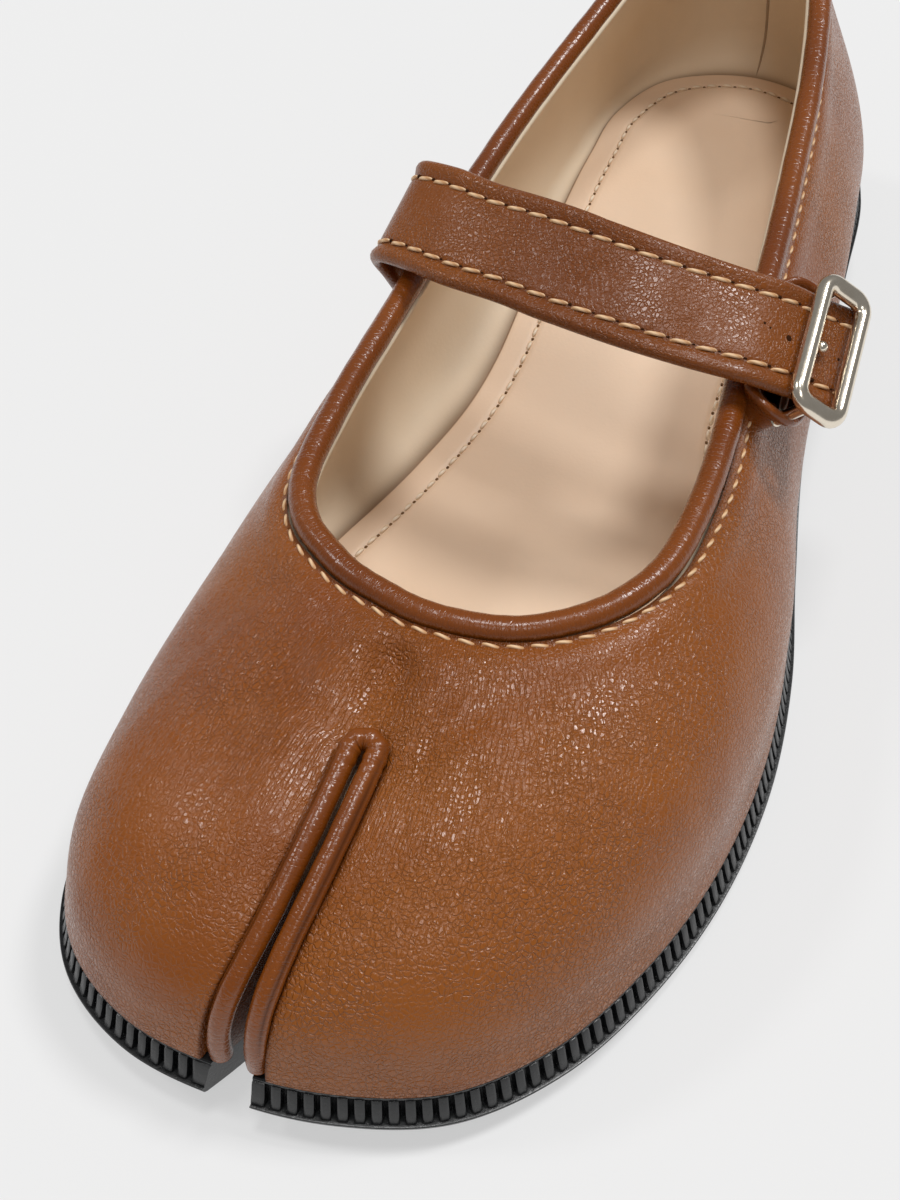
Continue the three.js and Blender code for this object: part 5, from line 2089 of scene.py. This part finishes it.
@dataclass
class Strap:
    """The strap: a thin leather body between two rolled edges, with a row of stitches beside each."""

    last: Last
    buckle: Buckle
    width: float = 19.2
    thickness: float = 1.8
    edge_width: float = 2.6
    edge_thickness: float = 2.6
    tail: float = 2.2
    tail_shift: float = 1.7
    rings: int = 420
    profile: int = 44
    ditch: float = 0.3
    stitch_inset: float = 3.5
    hole_sides: int = 20
    stitches: StitchRow = field(
        default_factory=lambda: StitchRow(length=3.6, pitch=4.0, radius=0.34, sink=0.25, slant=0.13))
    pinholes: tuple[Pinhole, ...] = (
        Pinhole(-5.2, -0.3, 0.5),
        Pinhole(-9.4, 0.9, 0.22),
        Pinhole(-8.6, 0.4, 0.18),
        Pinhole(5.0, -0.4, 0.25),
        Pinhole(0, 0, 1.25),
    )

    def stations(self) -> tuple[np.ndarray, np.ndarray]:
        """The strap's stations, from its sewn end over the instep to its tail in the buckle.

        Returns:
            Points of the middle line, and directions across it.
        """
        last, buckle = self.last, self.buckle

        def across(tilt: float, turn: float) -> np.ndarray:
            """Direction across the strap."""
            a, b = np.radians([tilt, turn])
            return np.array([np.cos(a) * np.sin(b), np.cos(a) * np.cos(b), np.sin(a)])

        points, spread = [], []
        for row in STRAP_SEWN:
            level = np.array([row.up])
            place = row.along * last.length
            share = last.share_where(level, 0.6, 0.85, lambda p, y=place: p[..., 1] <= y)
            points.append(last.wall_point(share, level, -self.edge_thickness / 2 - 3 * last.gap)[0])
            spread.append(across(row.tilt, row.turn))
        for row in STRAP_FREE:
            points.append(np.array([row.across * last.half_ball, row.along * last.length,
                                    row.height * last.instep_height]))
            spread.append(across(row.tilt, row.turn))
        half, level = buckle.bar_distance / 2, -buckle.to_strap
        held = [(-half, level), (0, level), (half, level), (half + self.tail / 2, level - self.tail / 8),
                (half + self.tail, level - self.tail / 2)]
        for x, z in held:
            points.append(buckle.at((x, self.tail_shift * (0.5 + 0.5 * x / half), z)))
            spread.append(buckle.axes @ np.array([0, 1.0, 0]))
        return np.array(points), np.array(spread)

    def section(self) -> np.ndarray:
        """The strap's section: a flat body, two rolled edges and a ditch beside each for the stitches.

        Returns:
            Place across and height of each point, over one face and back along the other.
        """
        half = self.width / 2
        body, roll = self.thickness / 2, self.edge_thickness / 2
        flat = half - self.edge_width
        place = half * np.sin(np.linspace(np.pi / 2, -np.pi / 2, self.profile // 2 + 1))
        place = np.sort(np.concatenate([place, [flat - 0.2, flat - 0.6, flat - 1.0, flat - 1.5,
                                                -flat + 0.2, -flat + 0.6, -flat + 1.0, -flat + 1.5]]))[::-1]
        from_edge = half - np.abs(place)
        rounded = roll * np.sqrt(np.clip(1 - (1 - from_edge / (self.edge_width / 2)) ** 2, 0, 1))
        rolled = np.where(from_edge < self.edge_width / 2, rounded,
                          body + (roll - body) * bell(from_edge - self.edge_width / 2, 0.9))
        high = rolled - self.ditch * bell(from_edge - self.edge_width - 0.75, 0.55)
        low = -(rolled - 0.12 * bell(from_edge - self.edge_width - 0.75, 0.55))
        return np.concatenate([np.stack([place, high], -1), np.stack([place, low], -1)[::-1][1:-1]])

    def frames(self) -> tuple[np.ndarray, np.ndarray, np.ndarray]:
        """The strap's frames at even steps along it.

        Returns:
            Points, directions across and directions outward.
        """
        points, spread = self.stations()
        path, fan = Curve(points, False), Curve(spread, False)
        t = path.by_length(np.linspace(0, 1, self.rings))
        along = path.along(t)
        across = fan.at(t)
        across = unit(across - along * dot(across, along))
        return path.at(t), across, np.cross(along, across)

    def build(self, finishes: Finishes) -> None:
        """Makes the strap, its stitches and its pinholes.

        Args:
            finishes: The shared finishes.
        """
        last = self.last
        middle, across, out = self.frames()
        section = self.section()
        points = (middle[:, None] + across[:, None] * section[None, :, :1]
                  + out[:, None] * section[None, :, 1:])
        step = float(np.linalg.norm(np.diff(middle, axis=0), axis=1).mean())
        body = Sheet.of_grid(points, wrap_columns=True, size=(step, 1.0))
        count = len(section)
        body.cap(np.arange(count)).cap((self.rings - 1) * count + np.arange(count)[::-1])
        # Painted shade in the ditch beside each rolled edge, on the top face only.
        edge = bell(np.abs(section[:, 0]) - self.width / 2 + self.edge_width + 0.75, 0.4)
        body.marks = {"darkened": np.tile(0.45 * edge * (section[:, 1] > 0), self.rings),
                      "crumple": np.full(len(body.points), 0.6)}
        make_piece(last, "strap_leather", body, finishes.strap, Slot.LEATHER, "strap")
        rows = []
        for sign in (-1, 1):
            place = sign * (self.width / 2 - self.stitch_inset)
            height = self.thickness / 2 - self.ditch + 0.05
            line = middle + across * place + out * height
            rows.append(self.stitches.lay(line[4:-3], out[4:-3], False))
        make_piece(last, "strap_stitches", joined([r[0] for r in rows]), finishes.thread, Slot.LEATHER)
        holes = joined([r[1] for r in rows])
        make_piece(last, "strap_needle_holes", holes, finishes.hole, Slot.LEATHER)
        self.build_pinholes(middle, across, out, finishes)

    def build_pinholes(self, middle: np.ndarray, across: np.ndarray, out: np.ndarray,
                       finishes: Finishes) -> None:
        """The punched pinholes: small dark dimples, placed from the stud along the strap.

        Args:
            middle: The strap's middle line.
            across: Directions across it.
            out: Directions out of it.
            finishes: The shared finishes.
        """
        stud = self.buckle.at((self.buckle.centre_shift, 0, -self.buckle.to_strap))
        nearest = int(np.linalg.norm(middle - stud, axis=1).argmin())
        step = float(np.linalg.norm(np.diff(middle, axis=0), axis=1).mean())
        sheets = []
        turn = np.linspace(0, 2 * np.pi, self.hole_sides, endpoint=False)[None, :, None]
        reach = np.array([1, 0.8, 0.4])[:, None, None]
        lift = np.array([0, 0.03, 0.04])[:, None, None]
        for hole in self.pinholes:
            k = min(max(nearest + round(hole.run / step), 0), len(middle) - 1)
            centre = middle[k] + across[k] * hole.place + out[k] * (self.thickness / 2 + 0.04)
            along = np.cross(across[k], out[k])
            ring = across[k] * np.cos(turn) + along * np.sin(turn)
            dimple = Sheet.of_grid(centre + reach * hole.radius * ring + out[k] * lift, wrap_columns=True)
            dimple.cap(2 * self.hole_sides + np.arange(self.hole_sides))
            sheets.append(dimple)
        make_piece(self.last, "strap_pinholes", joined(sheets), finishes.hole, Slot.LEATHER)


class Window(NamedTuple):
    """A soft window: its name, the direction towards it, its strength and its width in degrees."""

    name: str
    direction: tuple[float, float, float]
    strength: float
    spread: float


@dataclass
class Studio:
    """The floor, the soft lights and the camera at the photograph's angle."""

    elevation: float = 49
    azimuth: float = 20
    distance: float = 264.72
    target: tuple[float, float] = (-12.53, -30.19)
    lens: float = 45
    sensor: float = 36
    room: str = "#FFFFFF"
    room_strength: float = 0.22
    floor_half: float = 3.0
    windows: tuple[Window, ...] = (
        Window("window_left", (-0.64, -0.03, 0.77), 0.4, 9),
        Window("window_back", (0.32, 0.36, 0.88), 1.25, 12),
        Window("window_above", (-0.04, 0.08, 0.99), 0.8, 12),
        Window("window_front", (0.16, -0.44, 0.88), 0.4, 16),
    )

    def build(self) -> None:
        """Sets up everything round the shoe."""
        self.build_camera()
        self.build_lights()
        self.build_floor()

    def build_camera(self) -> None:
        """The camera: placed back from its target along the line of sight."""
        el, az = np.radians([self.elevation, self.azimuth])
        right = np.array([np.cos(az), np.sin(az), 0])
        ground = np.array([-np.sin(az), np.cos(az), 0])
        ahead = ground * np.cos(el) - np.array([0, 0, 1]) * np.sin(el)
        up = np.cross(right, ahead)
        place = (np.array([*self.target, 0]) - ahead * self.distance) * MM
        data = bpy.data.cameras.new("camera")
        data.lens = self.lens
        data.sensor_width = self.sensor
        data.sensor_fit = "AUTO"
        data.clip_start = 0.01
        camera = bpy.data.objects.new("camera", data)
        turned = np.eye(4)
        turned[:3, 0], turned[:3, 1], turned[:3, 2], turned[:3, 3] = right, up, -ahead, place
        camera.matrix_world = Matrix(turned.tolist())
        bpy.context.scene.collection.objects.link(camera)
        bpy.context.scene.camera = camera

    def open_window(self, window: Window) -> None:
        """Adds a window's light, from so far off that it lights the floor evenly.

        Args:
            window: The window.
        """
        data = bpy.data.lights.new(window.name, "SUN")
        data.energy = window.strength
        data.angle = np.radians(window.spread)
        light = bpy.data.objects.new(window.name, data)
        light.rotation_euler = Vector(window.direction).to_track_quat("Z", "Y").to_euler()
        bpy.context.scene.collection.objects.link(light)

    def build_lights(self) -> None:
        """A bright room with soft windows at the left, behind and overhead, and a weak one in front."""
        world = bpy.data.worlds.new("room")
        world.use_nodes = True
        background = world.node_tree.nodes["Background"]
        background.inputs["Color"].default_value = linear(self.room)
        background.inputs["Strength"].default_value = self.room_strength
        bpy.context.scene.world = world
        for window in self.windows:
            self.open_window(window)
        bpy.context.scene.view_settings.view_transform = "Standard"

    def build_floor(self) -> None:
        """A sheet of film that reaches past the frame."""
        size = self.floor_half
        mesh = bpy.data.meshes.new("floor")
        corners = [(-size, -size, 0), (size, -size, 0), (size, size, 0), (-size, size, 0)]
        mesh.from_pydata(corners, [], [(0, 1, 2, 3)])
        mesh.materials.append(PaleFloor().build())
        floor = bpy.data.objects.new("floor", mesh)
        bpy.context.scene.collection.objects.link(floor)


def main() -> None:
    """Builds the shoe, piece by piece."""
    logging.basicConfig(level=logging.INFO, format="%(message)s")
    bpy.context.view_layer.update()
    last = Last()
    buckle = Buckle(last)
    Studio().build()
    finishes = Finishes()
    for assembly in (Outsole(last), Upper(last), Binding(last), ToeSplit(last), Sock(last),
                     Strap(last, buckle), buckle):
        assembly.build(finishes)
        LOG.info("%s done", type(assembly).__name__)


if __name__ == "__main__":
    main()
